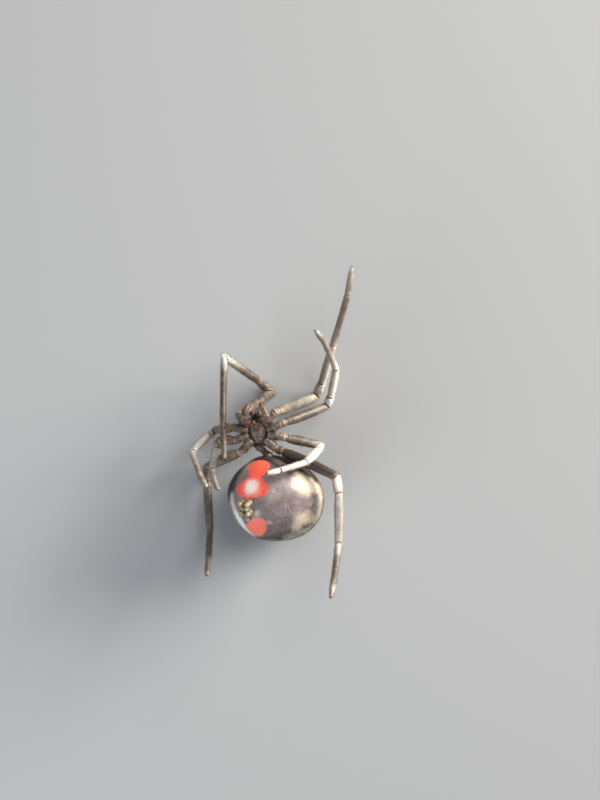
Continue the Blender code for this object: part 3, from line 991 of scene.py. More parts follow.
@dataclass(frozen=True)
class Cuticle:
    """Hard shell: mottled, finely grained, and warmer towards its joints.

    The points of its mesh say where highlights and shade are painted on, and which side, turned from the
    light, gets painted shade. The mottle and the grain are sizes in millimetres, and the depth is that of
    its relief.
    """

    name: str
    dark: Colour
    light: Colour
    joint: Colour
    roughness: float = 0.30
    mottle: float = 0.55
    grain: float = 0.06
    depth: float = 0.012
    gloss: float = 0.25
    # Cream of the painted highlights
    painted_highlight_cream: Colour = (0.93, 0.905, 0.83)
    # Umber of the painted shade
    shade_umber: Colour = (0.030, 0.015, 0.008)
    # Brown of the painted shade on the side turned from the light
    turned_side_shade: Colour = (0.150, 0.084, 0.044)

    def make(self) -> bpy.types.Material:
        """The shell's material."""
        graph = Graph(self.name)
        blotch = graph.noise(self.mottle, 4.0, 0.62)
        speck = graph.noise(self.mottle * 0.22, 3.0, 0.6)
        near_joint = graph.mark("joint")
        colour = graph.mix(graph.step(blotch, 0.36, 0.70), self.dark, self.light)
        colour = graph.mix(graph.clamp(near_joint * (0.45 + blotch)), colour, self.joint)
        # Painted highlights where the mesh's pale mark says
        colour = graph.mix(graph.clamp(graph.mark("pale") * (0.70 + blotch * 0.5)), colour, self.painted_highlight_cream)
        # Painted shade on the side of the legs turned from the light
        under = graph.clamp(graph.mark("under") * (0.46 + blotch * 0.70))
        colour = graph.mix(under, colour, self.turned_side_shade)
        # Painted shade where the mesh says
        colour = graph.mix(graph.clamp(graph.mark("dusk")), colour, self.shade_umber)
        colour = graph.mix(graph.step(speck, 0.56, 0.80) * 0.45, colour, self.dark)
        sockets = 1.0 - graph.step(graph.cells(self.grain * 2.2), 0.06, 0.30)
        grain = graph.noise(self.grain, 3.0, 0.6)
        height = grain * 0.8 - sockets * 0.6 + blotch * 0.8
        roughness = self.roughness + grain * 0.14 + blotch * 0.10 - near_joint * 0.04
        gloss = {"Coat_Weight": self.gloss, "Coat_Roughness": 0.28}
        return graph.finish(colour, roughness, height, self.depth, **gloss)


@dataclass(frozen=True)
class Membrane:
    """Soft wrinkled skin at the joints."""

    dark: Colour = (0.12, 0.060, 0.032)
    light: Colour = (0.30, 0.18, 0.10)

    def make(self) -> bpy.types.Material:
        """The membrane's material."""
        graph = Graph("joint_membrane")
        blotch = graph.noise(0.25, 3.0)
        folds = graph.noise(0.05, 2.0)
        colour = graph.mix(graph.step(blotch, 0.3, 0.7), self.dark, self.light)
        return graph.finish(colour, 0.42 + folds * 0.18, folds + blotch, 0.02)


@dataclass(frozen=True)
class Spike:
    """Hairs, claws and fangs: smooth horn that darkens or pales from one to the next."""

    name: str
    dark: Colour
    light: Colour
    roughness: float = 0.3

    def make(self) -> bpy.types.Material:
        """The horn's material."""
        graph = Graph(self.name)
        streak = graph.noise(0.12, 3.0)
        share = graph.clamp(graph.mark("strand") * 0.8 + streak * 0.6 - 0.2)
        colour = graph.mix(share, self.dark, self.light)
        return graph.finish(colour, self.roughness + streak * 0.16, streak, 0.004)


@dataclass(frozen=True)
class EyeGlass:
    """Polished dark lens with a faint amber depth."""

    dark: Colour = (0.006, 0.005, 0.006)
    amber: Colour = (0.060, 0.030, 0.014)

    def make(self) -> bpy.types.Material:
        """The lens material."""
        graph = Graph("eye_lens")
        depth = graph.noise(0.16, 2.0)
        colour = graph.mix(graph.step(depth, 0.4, 0.75), self.dark, self.amber)
        return graph.finish(colour, 0.06 + depth * 0.05, Coat_Weight=1.0, Coat_Roughness=0.03)


@dataclass(frozen=True)
class PaleFloor:
    """Matt pale studio floor."""

    colour: Colour = (0.335, 0.340, 0.350)
    cloud: Colour = (0.31, 0.315, 0.325)

    def make(self) -> bpy.types.Material:
        """The floor's material."""
        graph = Graph("studio_floor")
        colour = graph.mix(graph.noise(60.0, 2.0) * 0.10, self.colour, self.cloud)
        return graph.finish(colour, 0.75)


# Abdomen


@dataclass(frozen=True)
class Abdomen:
    """Globe with its relief, marks, spinnerets and fine hair.

    Lengths are in millimetres and angles in degrees: an angle is from forward towards the belly, and one
    aside is towards the spider's left. A bump's numbers are its height and its spread.
    """

    length: float = 6.93
    width: float = 7.92
    height: float = 8.4
    middle_x: float = 0.45
    middle_y: float = -5.59
    press: float = 0.14
    contact_softness: float = 0.05
    contact_height: float = 1.0
    pedicel_angle: float = 35.0
    spinneret_angle: float = 112.0
    # Angle, height and spread
    mounds: tuple = ((35.0, 0.28, 18.0), (112.0, 0.22, 14.0), (146.0, 0.30, 34.0))
    furrow_angle: float = 47.0
    furrow_sag: float = 0.008
    furrow: tuple = (-0.075, 1.5)
    furrow_ends: tuple = (22.0, 30.0)
    lung_angle: float = 41.0
    lung_aside: float = 19.0
    lung: tuple = (0.060, 6.0, 7.0)
    slit_angle: float = 101.5
    slit: tuple = (-0.03, 1.0, 7.0)
    moat_ahead: float = 2.0
    moat_angle: float = 11.5
    moat: tuple = (-0.050, 2.6)
    pleats_angle: float = 18.0
    pleats: tuple = (0.010, 5.0)
    pleat_count: float = 18.0
    dimple_places: tuple = ((66, 27), (88, 33), (118, 34), (-70, 16), (-100, 18), (-130, 16))
    dimple: tuple = (-0.055, 2.4)
    spinneret_length: float = 0.50
    spinneret_radius: float = 0.29
    spinneret_spacing: float = 4.6
    # Steps behind the middle, steps aside, and size
    spinneret_pairs: tuple = ((-1.1, 1.0, 1.0), (0.15, 0.55, 0.62), (1.2, 0.95, 0.9))
    spinneret_back: float = 42.0
    spinneret_profile: tuple = (
        (0.0, 1.0), (0.35, 1.06), (0.55, 0.94), (0.60, 0.78), (0.66, 0.82), (0.85, 0.66), (1.0, 0.44)
    )
    spinneret_wrinkles: tuple = (0.025, 70.0)
    knob_step: float = 3.1
    knob_back: float = 60.0
    knob_share: tuple = (0.85, 0.40)
    spigot_count: int = 7
    spigot_turn: float = 2.4
    spigot_spread: float = 0.42
    spigot_length: float = 0.13
    spigot_radii: tuple = (0.026, 0.022, 0.018, 0.012, 0.004)
    seed: int = 11
    hair_count: int = 17000
    hair_scatter: float = 0.012
    hair_lie: tuple = (-0.8, 0.0, 0.25)
    bare_waist: float = 9.0
    bare_spinnerets: float = 12.0
    bare_height: float = 0.28
    hair: Hair = Hair(0.26, 0.0068, 0.66, 0.35)

    @property
    def axes(self) -> np.ndarray:
        """The abdomen's own directions."""
        return body_axes((0.18, 0.97, -0.18), (-0.545, 0.254, 0.799))

    @property
    def half(self) -> np.ndarray:
        """Half sizes along its own directions."""
        return np.array((self.length, self.width, self.height)) / 2.0

    @property
    def middle(self) -> np.ndarray:
        """The globe's middle, which its press on the floor sets."""
        ways, _ = round_ways(4)
        lowest = (self.globe(ways) @ self.axes.T)[:, 2].min()
        return np.array((self.middle_x, self.middle_y, -lowest - self.press))

    def globe(self, ways: np.ndarray) -> np.ndarray:
        """Plain globe with its three mounds, in its own directions.

        Args:
            ways: directions of length one.

        Returns:
            The place on the globe along each direction.
        """
        reach = 1.0 / np.sqrt(((ways / self.half) ** 2).sum(axis=1))
        for angle, height, spread in self.mounds:
            reach = reach + height * bell(degrees_from(sagittal(angle), ways), 0.0, spread)
        return ways * reach[:, None]

    def surface(self, ways: np.ndarray) -> np.ndarray:
        """The globe with the relief of its skin.

        Args:
            ways: directions of length one.

        Returns:
            The place on the skin along each direction, in its own directions.
        """
        along = np.degrees(np.arctan2(-ways[:, 2], ways[:, 0]))
        across = np.degrees(np.arcsin(np.clip(ways[:, 1], -1.0, 1.0)))
        aside = np.abs(across)
        x, y, z = ways.T
        swell = 0.030 * np.sin(5.1 * x + 2.0 * y) * np.cos(4.3 * y - 1.0) + 0.022 * np.sin(7.7 * z + 3.1 * x)
        depth, spread = self.furrow
        inner, outer = self.furrow_ends
        furrow = depth * bell(along, self.furrow_angle + self.furrow_sag * across**2, spread)
        furrow = furrow * smooth_step(-aside, -outer, -inner)
        height, ahead, sideways = self.lung
        lungs = height * bell(along, self.lung_angle, ahead) * bell(aside, self.lung_aside, sideways)
        moat = self.spinneret_moat(ways, along, across)
        depth, ahead, sideways = self.slit
        slit = depth * bell(along, self.slit_angle, ahead) * bell(across, 0.0, sideways)
        relief = swell + furrow + lungs + moat + slit + self.dimples(ways)
        return self.globe(ways) + ways * relief[:, None]

    def spinneret_moat(self, ways: np.ndarray, along: np.ndarray, across: np.ndarray) -> np.ndarray:
        """Moat round the spinnerets, with pleats outside it.

        Args:
            ways: directions of length one.
            along: their angles towards the belly.
            across: their angles towards the left.

        Returns:
            The relief at each direction.
        """
        away = degrees_from(sagittal(self.spinneret_angle + self.moat_ahead), ways)
        turn = np.arctan2(across, along - self.spinneret_angle)
        depth, spread = self.moat
        height, width = self.pleats
        pleats = height * bell(away, self.pleats_angle, width) * np.sin(self.pleat_count * turn)
        return depth * bell(away, self.moat_angle, spread) + pleats

    def dimples(self, ways: np.ndarray) -> np.ndarray:
        """Pairs of dimples where muscles pull at the skin.

        Args:
            ways: directions of length one.

        Returns:
            The relief at each direction.
        """
        depth, spread = self.dimple
        relief = np.zeros(len(ways))
        for at, aside in self.dimple_places:
            for side in (-1.0, 1.0):
                relief += depth * bell(degrees_from(direction(at, side * aside), ways), 0.0, spread)
        return relief

    def placed(self, own: np.ndarray) -> np.ndarray:
        """Places in the world, in millimetres, eased flat where they press on the floor.

        Args:
            own: places in its own directions.

        Returns:
            The places in the world.
        """
        places = self.middle + own @ self.axes.T
        deep = places[:, 2] < self.contact_height
        low = places[deep, 2]
        places[deep, 2] = (low + np.sqrt(low**2 + self.contact_softness**2)) / 2.0
        return places

    def skin(self) -> Shell:
        """The abdomen's skin."""
        ways, tris = round_ways(7)
        return Shell(self.placed(self.surface(ways)), tris)

    def spinneret(self, way: np.ndarray, outward: np.ndarray, radius: float, length: float) -> list[Shell]:
        """One spinneret of two joints with a bunch of spigots on its tip.

        Args:
            way: direction of its root from the abdomen's middle.
            outward: direction it points in.
            radius: at its base.
            length: beyond the skin.

        Returns:
            Its surfaces.
        """
        count = 26
        root = self.globe(way[None])[0]
        shares = np.linspace(0.0, 1.0, count)
        lean = unit(outward - root / np.linalg.norm(root) * 0.2)
        path = root + outward * (shares[:, None] * (length + radius * 1.3) - radius * 1.0)
        path = path + (lean - outward) * (shares[:, None] ** 2) * length
        depth, often = self.spinneret_wrinkles
        radii = radius * follow(self.spinneret_profile, shares) * (1.0 + depth * np.sin(shares * often))
        cone = tube(path, radii * rounded(count, 0.02, 0.16), (0.0, 1.0, 0.0), 20)
        cone.marks["joint"] = smooth_step(shares, 0.45, 1.0)
        shells = [cone.shell()] + self.spigots(path[-1], outward, radius)
        for shell in shells:
            shell.places = self.placed(shell.places)
        return shells

    def spigots(self, tip: np.ndarray, outward: np.ndarray, radius: float) -> list[Shell]:
        """Bunch of spigots, spread over the tip as the seeds of a flower are.

        Args:
            tip: of the spinneret.
            outward: direction it points in.
            radius: of the spinneret at its base.

        Returns:
            Their surfaces.
        """
        level = unit(np.cross(outward, (0.1, 0.9, 0.2)))
        upright = np.cross(outward, level)
        radii = np.array(self.spigot_radii)
        shares = np.linspace(0.0, 1.0, len(radii))[:, None]
        shells = []
        for index in range(self.spigot_count):
            turn = index * self.spigot_turn
            far = radius * self.spigot_spread * math.sqrt(index / self.spigot_count)
            base = tip - outward * 0.05 + (level * math.cos(turn) + upright * math.sin(turn)) * far
            shells.append(tube(shares * outward * self.spigot_length + base, radii, level, 6).shell(1))
        return shells

    def spinnerets(self) -> list[Shell]:
        """Three pairs of spinnerets and the knob above them."""
        shells = []
        for along, across, size in self.spinneret_pairs:
            for side in (-1.0, 1.0):
                way = sagittal(self.spinneret_angle + along * self.spinneret_spacing)
                way[1] = side * across * math.radians(self.spinneret_spacing)
                way = unit(way)
                outward = unit(way * 1.2 + sagittal(self.spinneret_angle + self.spinneret_back))
                radius = self.spinneret_radius * (0.55 + 0.45 * size)
                shells += self.spinneret(way, outward, radius, self.spinneret_length * size)
        knob = sagittal(self.spinneret_angle + self.knob_step * self.spinneret_spacing)
        outward = unit(knob + sagittal(self.spinneret_angle + self.knob_back))
        thick, long = self.knob_share
        radius, length = self.spinneret_radius * thick, self.spinneret_length * long
        return shells + self.spinneret(knob, outward, radius, length)

    def coat(self) -> Shell:
        """Fine hairs that lie back over the globe, thinner round the waist and the spinnerets."""
        random = np.random.default_rng(self.seed)
        index = np.arange(self.hair_count) + 0.5
        height = 1.0 - 2.0 * index / self.hair_count
        turn = index * math.pi * GOLDEN_SHARE
        flat = np.sqrt(1.0 - height**2)
        ways = np.stack((flat * np.cos(turn), flat * np.sin(turn), height), axis=1)
        ways = unit(ways + random.normal(0.0, self.hair_scatter, ways.shape))
        spinnerets = sagittal(self.spinneret_angle + self.moat_ahead)
        clear = ways @ spinnerets < math.cos(math.radians(self.bare_spinnerets))
        clear &= ways @ sagittal(self.pedicel_angle) < math.cos(math.radians(self.bare_waist))
        ways = ways[clear]
        own = self.surface(ways)
        outward = unit(own / self.half**2)
        lie = np.array(self.hair_lie)
        back = lie + 0.25 * ways * np.array((0.0, 1.0, 0.0))
        back = unit(back - outward * (outward @ lie)[:, None])
        spots = round_spots(ways) * MAP_SHARE
        roots = Roots(self.placed(own), outward @ self.axes.T, back @ self.axes.T, spots)
        return self.hair.grow(roots.keep(roots.places[:, 2] > self.bare_height), random)

    def build(self) -> None:
        """Make the abdomen's pieces and dress them."""
        skin = AbdomenSkin((self.middle + SHIFT) * MM, self.axes)
        make_piece("abdomen_skin", [self.skin()], [skin.make()], ("abdomen",))
        cone = Cuticle(
            "spinneret_skin", (0.13, 0.085, 0.050), (0.34, 0.25, 0.155), (0.46, 0.375, 0.24), 0.40, 0.2
        )
        spigot = Spike("spigot_horn", (0.16, 0.11, 0.06), (0.44, 0.36, 0.24))
        make_piece("spinnerets", self.spinnerets(), [cone.make(), spigot.make()], ("abdomen",))
        make_piece("abdomen_hair", [self.coat()], [AbdomenHair(skin).make()])


# Front body


@dataclass(frozen=True)
class LegPose:
    """Where one leg's joints are, in millimetres, how stout it is, and where light and shade are painted on
    it.

    The profiles of painted highlight (pale) and of painted shade run over its six pieces: 0 to 1 is the
    trochanter, 1 to 2 the femur, and so on to 6 at the tip.
    """

    pair: int
    side: int
    stoutness: float
    knee: tuple
    ankle: tuple
    tip: tuple
    pale: tuple = ((0.0, 0.0), (5.0, 0.05), (6.0, 0.25))
    dusk: tuple = ((0.0, 0.32), (1.0, 0.22), (1.6, 0.07), (2.0, 0.0), (6.0, 0.0))


# Each leg's pale profile is where highlights are painted on, and its other profile is where shade is painted
# on
LEGS = {
    "leg_1_left": LegPose(
        0, 1, 1.00, (3.86, 3.11, 0.32), (5.25, 7.41, 5.00), (6.70, 13.52, 10.60),
        pale=(
            (0.0, 0.0), (1.2, 0.07), (2.3, 0.36), (2.9, 0.76), (3.5, 0.80), (3.9, 0.52), (4.4, 0.12),
            (5.4, 0.25), (6.0, 0.55),
        ),
    ),
    "leg_1_right": LegPose(
        0, -1, 1.00, (-0.05, 3.42, 0.32), (-3.98, 6.41, 4.40), (-3.84, -2.10, 6.60),
        pale=((0.0, 0.0), (3.5, 0.0), (3.88, 0.60), (4.12, 0.80), (4.3, 0.05), (5.5, 0.0), (6.0, 0.2)),
        dusk=(
            (0.0, 0.4), (1.0, 0.25), (2.0, 0.15), (3.2, 0.28), (3.6, 0.22), (4.0, 0.0), (4.4, 0.52),
            (5.4, 0.42), (6.0, 0.0),
        ),
    ),
    "leg_2_left": LegPose(
        1, 1, 0.92, (4.78, 2.25, 2.80), (5.50, 5.37, 5.40), (3.78, 8.44, 9.25),
        pale=((0.0, 0.0), (2.0, 0.30), (2.6, 1.0), (3.4, 1.0), (3.9, 1.0), (4.4, 0.34), (6.0, 0.30)),
        dusk=((0.0, 0.4), (1.0, 0.6), (1.9, 0.40), (2.2, 0.0), (6.0, 0.0)),
    ),
    "leg_2_right": LegPose(
        1, -1, 0.92, (-4.92, 0.12, 1.10), (-6.66, -1.62, 4.50), (-5.25, -4.40, 8.60),
        pale=((0.0, 0.0), (2.0, 0.20), (2.8, 0.55), (3.6, 0.70), (4.0, 0.90), (4.4, 0.35), (6.0, 0.20)),
    ),
    "leg_3_left": LegPose(
        2, 1, 0.90, (4.15, -1.10, 4.60), (2.97, -2.40, 7.88), (-0.18, -3.27, 9.00),
        pale=(
            (0.0, 0.40), (0.7, 0.25), (1.4, 0.05), (2.2, 0.38), (3.0, 1.0), (3.8, 1.0), (4.5, 0.62),
            (5.3, 0.95), (6.0, 0.95),
        ),
        dusk=((0.0, 0.1), (1.0, 0.62), (1.7, 0.55), (2.1, 0.0), (6.0, 0.0)),
    ),
    "leg_3_right": LegPose(
        2, -1, 0.90, (-4.50, -0.76, 2.20), (-5.02, -3.19, 3.80), (-4.35, -4.65, 7.30),
        pale=((0.0, 0.0), (2.2, 0.30), (3.0, 0.60), (3.8, 0.55), (4.5, 0.20), (6.0, 0.20)),
    ),
    "leg_4_left": LegPose(
        3, 1, 0.98, (5.45, -3.62, 6.85), (5.68, -9.25, 6.00), (5.00, -13.34, 9.80),
        pale=(
            (0.0, 0.0), (1.85, 0.0), (2.1, 0.80), (2.8, 0.70), (3.3, 0.36), (3.9, 0.36), (4.12, 0.50),
            (4.4, 0.08), (5.1, 0.0), (5.5, 0.30), (6.0, 0.0),
        ),
        dusk=(
            (0.0, 0.5), (1.0, 0.85), (1.85, 0.75), (2.1, 0.0), (4.15, 0.0), (4.6, 0.32), (5.2, 0.30),
            (5.5, 0.05), (6.0, 0.35),
        ),
    ),
    "leg_4_right": LegPose(
        3, -1, 0.98, (-5.53, -3.06, 0.32), (-5.27, -8.40, 2.30), (-5.30, -11.85, 6.80),
        pale=((0.0, 0.40), (0.7, 0.45), (1.4, 0.15), (3.0, 0.10), (4.0, 0.10), (6.0, 0.10)),
        dusk=((0.0, 0.0), (1.0, 0.0), (2.0, 0.3), (3.0, 0.35), (4.2, 0.55), (5.3, 0.45), (6.0, 0.2)),
    ),
}
LEG_SEED = 101
# Room at each joint, in millimetres, and the side of the legs turned from the light, which gets painted shade
GAP = 0.11
SHADED_SIDE = np.array((-0.74, -0.52, -0.43))
# Edge of a socket, from its mouth to the piece's full thickness: millimetres and share of the radius
SOCKET_EDGE = ((0.0, 0.40), (0.006, 0.66), (0.020, 0.82), (0.040, 0.92), (0.062, 0.975))
SOCKET_LENGTH = 0.09
# Lip and groove behind it: share of the radius, how far from the end, and spread in millimetres
SOCKET_LIP = (0.040, 0.13, 0.09)
SOCKET_GROOVE = (-0.045, 0.34, 0.13)
LIMB_BREADTH = 0.95
LIMB_RINGS = 40


def segment(
    start: np.ndarray,
    end: np.ndarray,
    profile: tuple,
    stoutness: float,
    before: np.ndarray,
    after: np.ndarray,
    hinge: np.ndarray,
    gap: float = GAP,
    bow: float = 0.0,
) -> Loft:
    """One hard piece of a limb, cut aslant at each end where the limb bends and lipped like a socket.

    Args:
        start: the joint it starts from.
        end: the joint it runs to.
        profile: radius along it, as pairs of share and millimetres.
        stoutness: scale of the radii.
        before: direction of the piece before it.
        after: direction of the piece after it.
        hinge: axis that the limb bends about.
        gap: room at each joint.
        bow: how far its middle bows outwards.

    Returns:
        The piece, from its first cut to its last.
    """
    ahead = unit(end - start)
    length = float(np.linalg.norm(end - start))
    level = unit(hinge - ahead * hinge.dot(ahead))
    inward = np.cross(level, ahead)
    first_cut, last_cut = unit(before + ahead), unit(ahead + after)
    body = np.linspace(SOCKET_LENGTH / length, 1.0 - SOCKET_LENGTH / length, LIMB_RINGS)
    insets, scale = np.array(SOCKET_EDGE).T
    insets = insets / length
    shares = np.concatenate((insets, body, 1.0 - insets[::-1]))
    scale = np.concatenate((scale, np.ones(len(body)), scale[::-1]))
    from_end = np.minimum(shares, 1.0 - shares) * length
    lips = 1.0
    for height, at, spread in (SOCKET_LIP, SOCKET_GROOVE):
        lips = lips + height * bell(from_end, at, spread)
    radii = follow(profile, np.clip(shares, 0.0, 1.0)) * stoutness * scale * lips
    turns = np.linspace(0.0, FULL_TURN, 24, endpoint=False)
    spokes = inward * np.cos(turns)[:, None] + level * np.sin(turns)[:, None] * LIMB_BREADTH
    offsets = radii[:, None, None] * spokes[None]
    near = (gap / 2.0 - offsets @ first_cut) / ahead.dot(first_cut)
    far = length - (gap / 2.0 + offsets @ last_cut) / ahead.dot(last_cut)
    axial = near * (1.0 - shares[:, None]) + far * shares[:, None]
    sway = -inward * bow * np.sin(math.pi * shares)[:, None]
    rings = start + ahead * axial[..., None] + offsets + sway[:, None]
    loft = Loft(rings, rings.mean(axis=1))
    loft.marks["joint"] = 0.42 * bell(from_end, 0.0, 0.30)
    return loft


def membrane(
    joint: np.ndarray, before: np.ndarray, after: np.ndarray, radius: float, hinge: np.ndarray
) -> Loft:
    """Soft sleeve that carries a limb through a joint.

    Args:
        joint: the joint's place.
        before: direction into it.
        after: direction out of it.
        radius: of the sleeve.
        hinge: axis that the limb bends about.

    Returns:
        The sleeve, whose ends are inside the hard pieces.
    """
    count, folds = 17, 4.0
    half_turn = max(float(unit(before + after) @ after), 0.35)
    reach = GAP / 2.0 / half_turn + 0.20
    shares = np.linspace(0.0, 1.0, count)[:, None]
    start, end = joint - before * reach, joint + after * reach
    path = start * (1.0 - shares) ** 2 + joint * 2.0 * shares * (1.0 - shares) + end * shares**2
    wrinkles = 1.0 + 0.045 * np.cos(shares[:, 0] * folds * FULL_TURN)
    return tube(path, radius * wrinkles * rounded(count, 0.1, 0.1), hinge, 20)


@dataclass(frozen=True)
class FrontBody:
    """Carapace, sternum, coxae, mouth plates, eyes, jaws, palps and the waist.

    Lengths are in millimetres and angles in degrees. Places are forward, to the left and towards the back
    of its middle, and those of a jaw or palp are the left one's.
    """

    middle: tuple = (-1.02, 0.19, 4.40)
    heart: tuple = (0.20, 0.0, 0.0)
    thorax_half: tuple = (1.15, 1.30, 0.85)
    thorax_back: float = 0.30
    head_half: tuple = (0.95, 0.71, 0.85)
    head_ahead: float = 0.62
    blend: float = 16.0
    pit_x: float = -0.45
    pit_depth: float = 0.150
    pit_half: tuple = (0.16, 0.30)
    # Angle from forward and depth
    furrows: tuple = ((33.0, 0.075), (68.0, 0.040), (98.0, 0.045), (128.0, 0.045), (158.0, 0.035))
    furrow_width: float = 5.5
    # Height on the shell, relief and spread
    rims: tuple = ((-0.04, 0.045, 0.07), (-0.19, -0.05, 0.07))
    eye_radius: float = 0.11
    eye_rows: tuple = (16.0, 40.0)
    eye_spreads: tuple = (13.0, 36.0)
    eye_depth: float = 0.985
    eye_mound: tuple = (0.050, 0.15)
    sternum_half: tuple = (0.875, 0.75, 0.58)
    sternum_depth: float = 1.16
    # Steps ahead and aside, share of the sternum's depth, and half sizes
    mouth_plate: tuple = (0.76, 0.36, 0.90, (0.35, 0.25, 0.31))
    lip_plate: tuple = (0.62, 0.0, 1.0, (0.25, 0.23, 0.20))
    coxa_angles: tuple = (43.0, 74.0, 105.0, 136.0)
    coxa_reach: float = 2.08
    coxa_root: float = 0.75
    coxa_depth: float = 1.02
    coxa_radius: float = 0.40
    coxa_profile: tuple = ((0.0, 0.72), (0.25, 0.98), (0.6, 1.04), (0.9, 0.93), (1.0, 0.92))
    jaw_inside: tuple = (1.22, 0.27, -0.42)
    jaw_root: tuple = (1.58, 0.31, -0.92)
    jaw_way: tuple = (0.22, 0.0, -1.0)
    jaw_length: float = 1.05
    jaw_radius: float = 0.25
    jaw_profile: tuple = ((0.0, 0.78), (0.30, 0.94), (0.5, 1.05), (0.75, 0.94), (0.93, 0.80), (1.0, 0.70))
    # From the jaw's end
    fang_route: tuple = (
        (0.05, 0.0, 0.10), (0.02, -0.01, -0.12), (-0.08, -0.04, -0.25), (-0.20, -0.07, -0.28)
    )
    fang_profile: tuple = ((0.0, 0.105), (0.4, 0.085), (0.75, 0.045), (1.0, 0.008))
    palp_radius: float = 0.26
    palp_radii: tuple = (0.80, 0.90, 1.0, 1.03, 0.66, 0.42)
    palp_route: tuple = (
        (0.82, 0.62, -1.25), (1.00, 0.80, -1.66), (1.24, 0.96, -2.18), (1.70, 0.92, -2.46),
        (2.22, 0.72, -2.30), (2.56, 0.54, -1.94), (2.60, 0.52, -1.84),
    )
    palp_claw_route: tuple = ((2.60, 0.52, -1.84), (2.70, 0.47, -1.76), (2.71, 0.45, -1.66))
    pedicel_radius: float = 0.27
    pedicel_start: float = -0.25
    pedicel_overlap: float = 0.4
    pedicel_pull: float = 0.24
    pedicel_rings: tuple = (0.05, 9.0)
    shells: tuple = (
        Cuticle("carapace_shell", (0.024, 0.016, 0.012), (0.090, 0.060, 0.044), (0.14, 0.09, 0.06), 0.28),
        Cuticle("belly_plates", (0.040, 0.030, 0.026), (0.165, 0.128, 0.108), (0.24, 0.17, 0.11), 0.30, 0.4),
        Cuticle("jaw_shell", (0.050, 0.022, 0.014), (0.18, 0.090, 0.052), (0.28, 0.15, 0.08), 0.26, 0.4),
    )
    seed: int = 23
    # How many hairs, and their kind
    coxa_hair: tuple = (90, Hair(0.26, 0.011, 0.55, 0.3))
    sternum_hair: tuple = (420, Hair(0.26, 0.010, 0.5, 0.3))
    back_hair: tuple = (900, Hair(0.16, 0.009, 0.6, 0.3))
    jaw_hair: tuple = (110, Hair(0.22, 0.010, 0.6, 0.3))
    palp_hair: tuple = (420, Hair(0.26, 0.010, 0.6, 0.35))
    ball_map_share: float = 0.98

    @property
    def axes(self) -> np.ndarray:
        """The front body's own directions."""
        return body_axes((-0.08, 0.985, 0.15), (-0.06, -0.15, 0.985))

    def placed(self, own: Any) -> np.ndarray:
        """Places in the world, in millimetres, of places in its own directions."""
        return np.array(self.middle) + np.asarray(own, float) @ self.axes.T

    def mirrored(self, place: tuple, side: int) -> np.ndarray:
        """A place of the left side, or the one that mirrors it on the right."""
        return np.array(place) * (1.0, side, 1.0)

    def hip(self, pose: LegPose) -> tuple[np.ndarray, np.ndarray]:
        """The end of a leg's coxa.

        Args:
            pose: the leg's pose.

        Returns:
            Where the leg leaves its coxa, and the coxa's direction.
        """
        angle = math.radians(self.coxa_angles[pose.pair])
        outward = np.array((math.cos(angle), pose.side * math.sin(angle), 0.0))
        own = outward * self.coxa_reach - np.array((0.0, 0.0, self.coxa_depth))
        return self.placed(own), self.axes @ outward

    def eye_places(self) -> list[np.ndarray]:
        """Places of the eight eyes in its own directions."""
        half = np.array(self.head_half)
        head = np.array((self.head_ahead, 0.0, 0.0))
        places = []
        for lift in self.eye_rows:
            for spread in self.eye_spreads:
                for side in (-1.0, 1.0):
                    up, across = math.radians(lift), math.radians(spread) * side
                    way = unit((math.cos(up) * math.cos(across), math.sin(across), math.sin(up)))
                    places.append(head + way * self.eye_depth / math.sqrt(((way / half) ** 2).sum()))
        return places

    def carapace(self) -> Shell:
        """Shell of the thorax and head, with its pit, furrows, rim and eye mounds."""
        ways, tris = round_ways(6)
        heart = np.array(self.heart)
        powers = 0.0
        for half, ahead in ((self.thorax_half, -self.thorax_back), (self.head_half, self.head_ahead)):
            reach = ellipsoid_reach(ways, np.array(half), np.array((ahead, 0.0, 0.0)) - heart)
            powers = powers + reach**self.blend
        reach = powers ** (1.0 / self.blend)
        smooth = heart + ways * reach[:, None]
        places = smooth + ways * self.carapace_relief(smooth)[:, None]
        x, _, z = smooth.T
        marks = {"joint": 0.5 * bell(z, -0.02, 0.10) + 0.35 * smooth_step(x, 1.0, 1.5)}
        return Shell(self.placed(places), tris, marks=marks)

    def carapace_relief(self, places: np.ndarray) -> np.ndarray:
        """Relief of the carapace.

        Args:
            places: on the smooth shell.

        Returns:
            How far each lies outside it.
        """
        x, y, z = places.T
        far = np.hypot(x - self.pit_x, y)
        turn = np.degrees(np.arctan2(np.abs(y), x - self.pit_x))
        above = smooth_step(z, 0.0, 0.35)
        long, wide = self.pit_half
        relief = -self.pit_depth * np.exp(-(((x - self.pit_x) / long) ** 2) - (y / wide) ** 2) * above
        for angle, depth in self.furrows:
            relief -= depth * bell(turn, angle, self.furrow_width) * smooth_step(far, 0.12, 0.35) * above
        relief += sum(height * bell(z, at, spread) for at, height, spread in self.rims)
        relief += 0.010 * np.sin(9.0 * x + 1.0) * np.sin(8.0 * y)
        height, spread = self.eye_mound
        for eye in self.eye_places():
            relief += height * np.exp(-((places - eye) ** 2).sum(axis=1) / spread**2)
        relief[z < -0.25] *= 0.5
        return relief

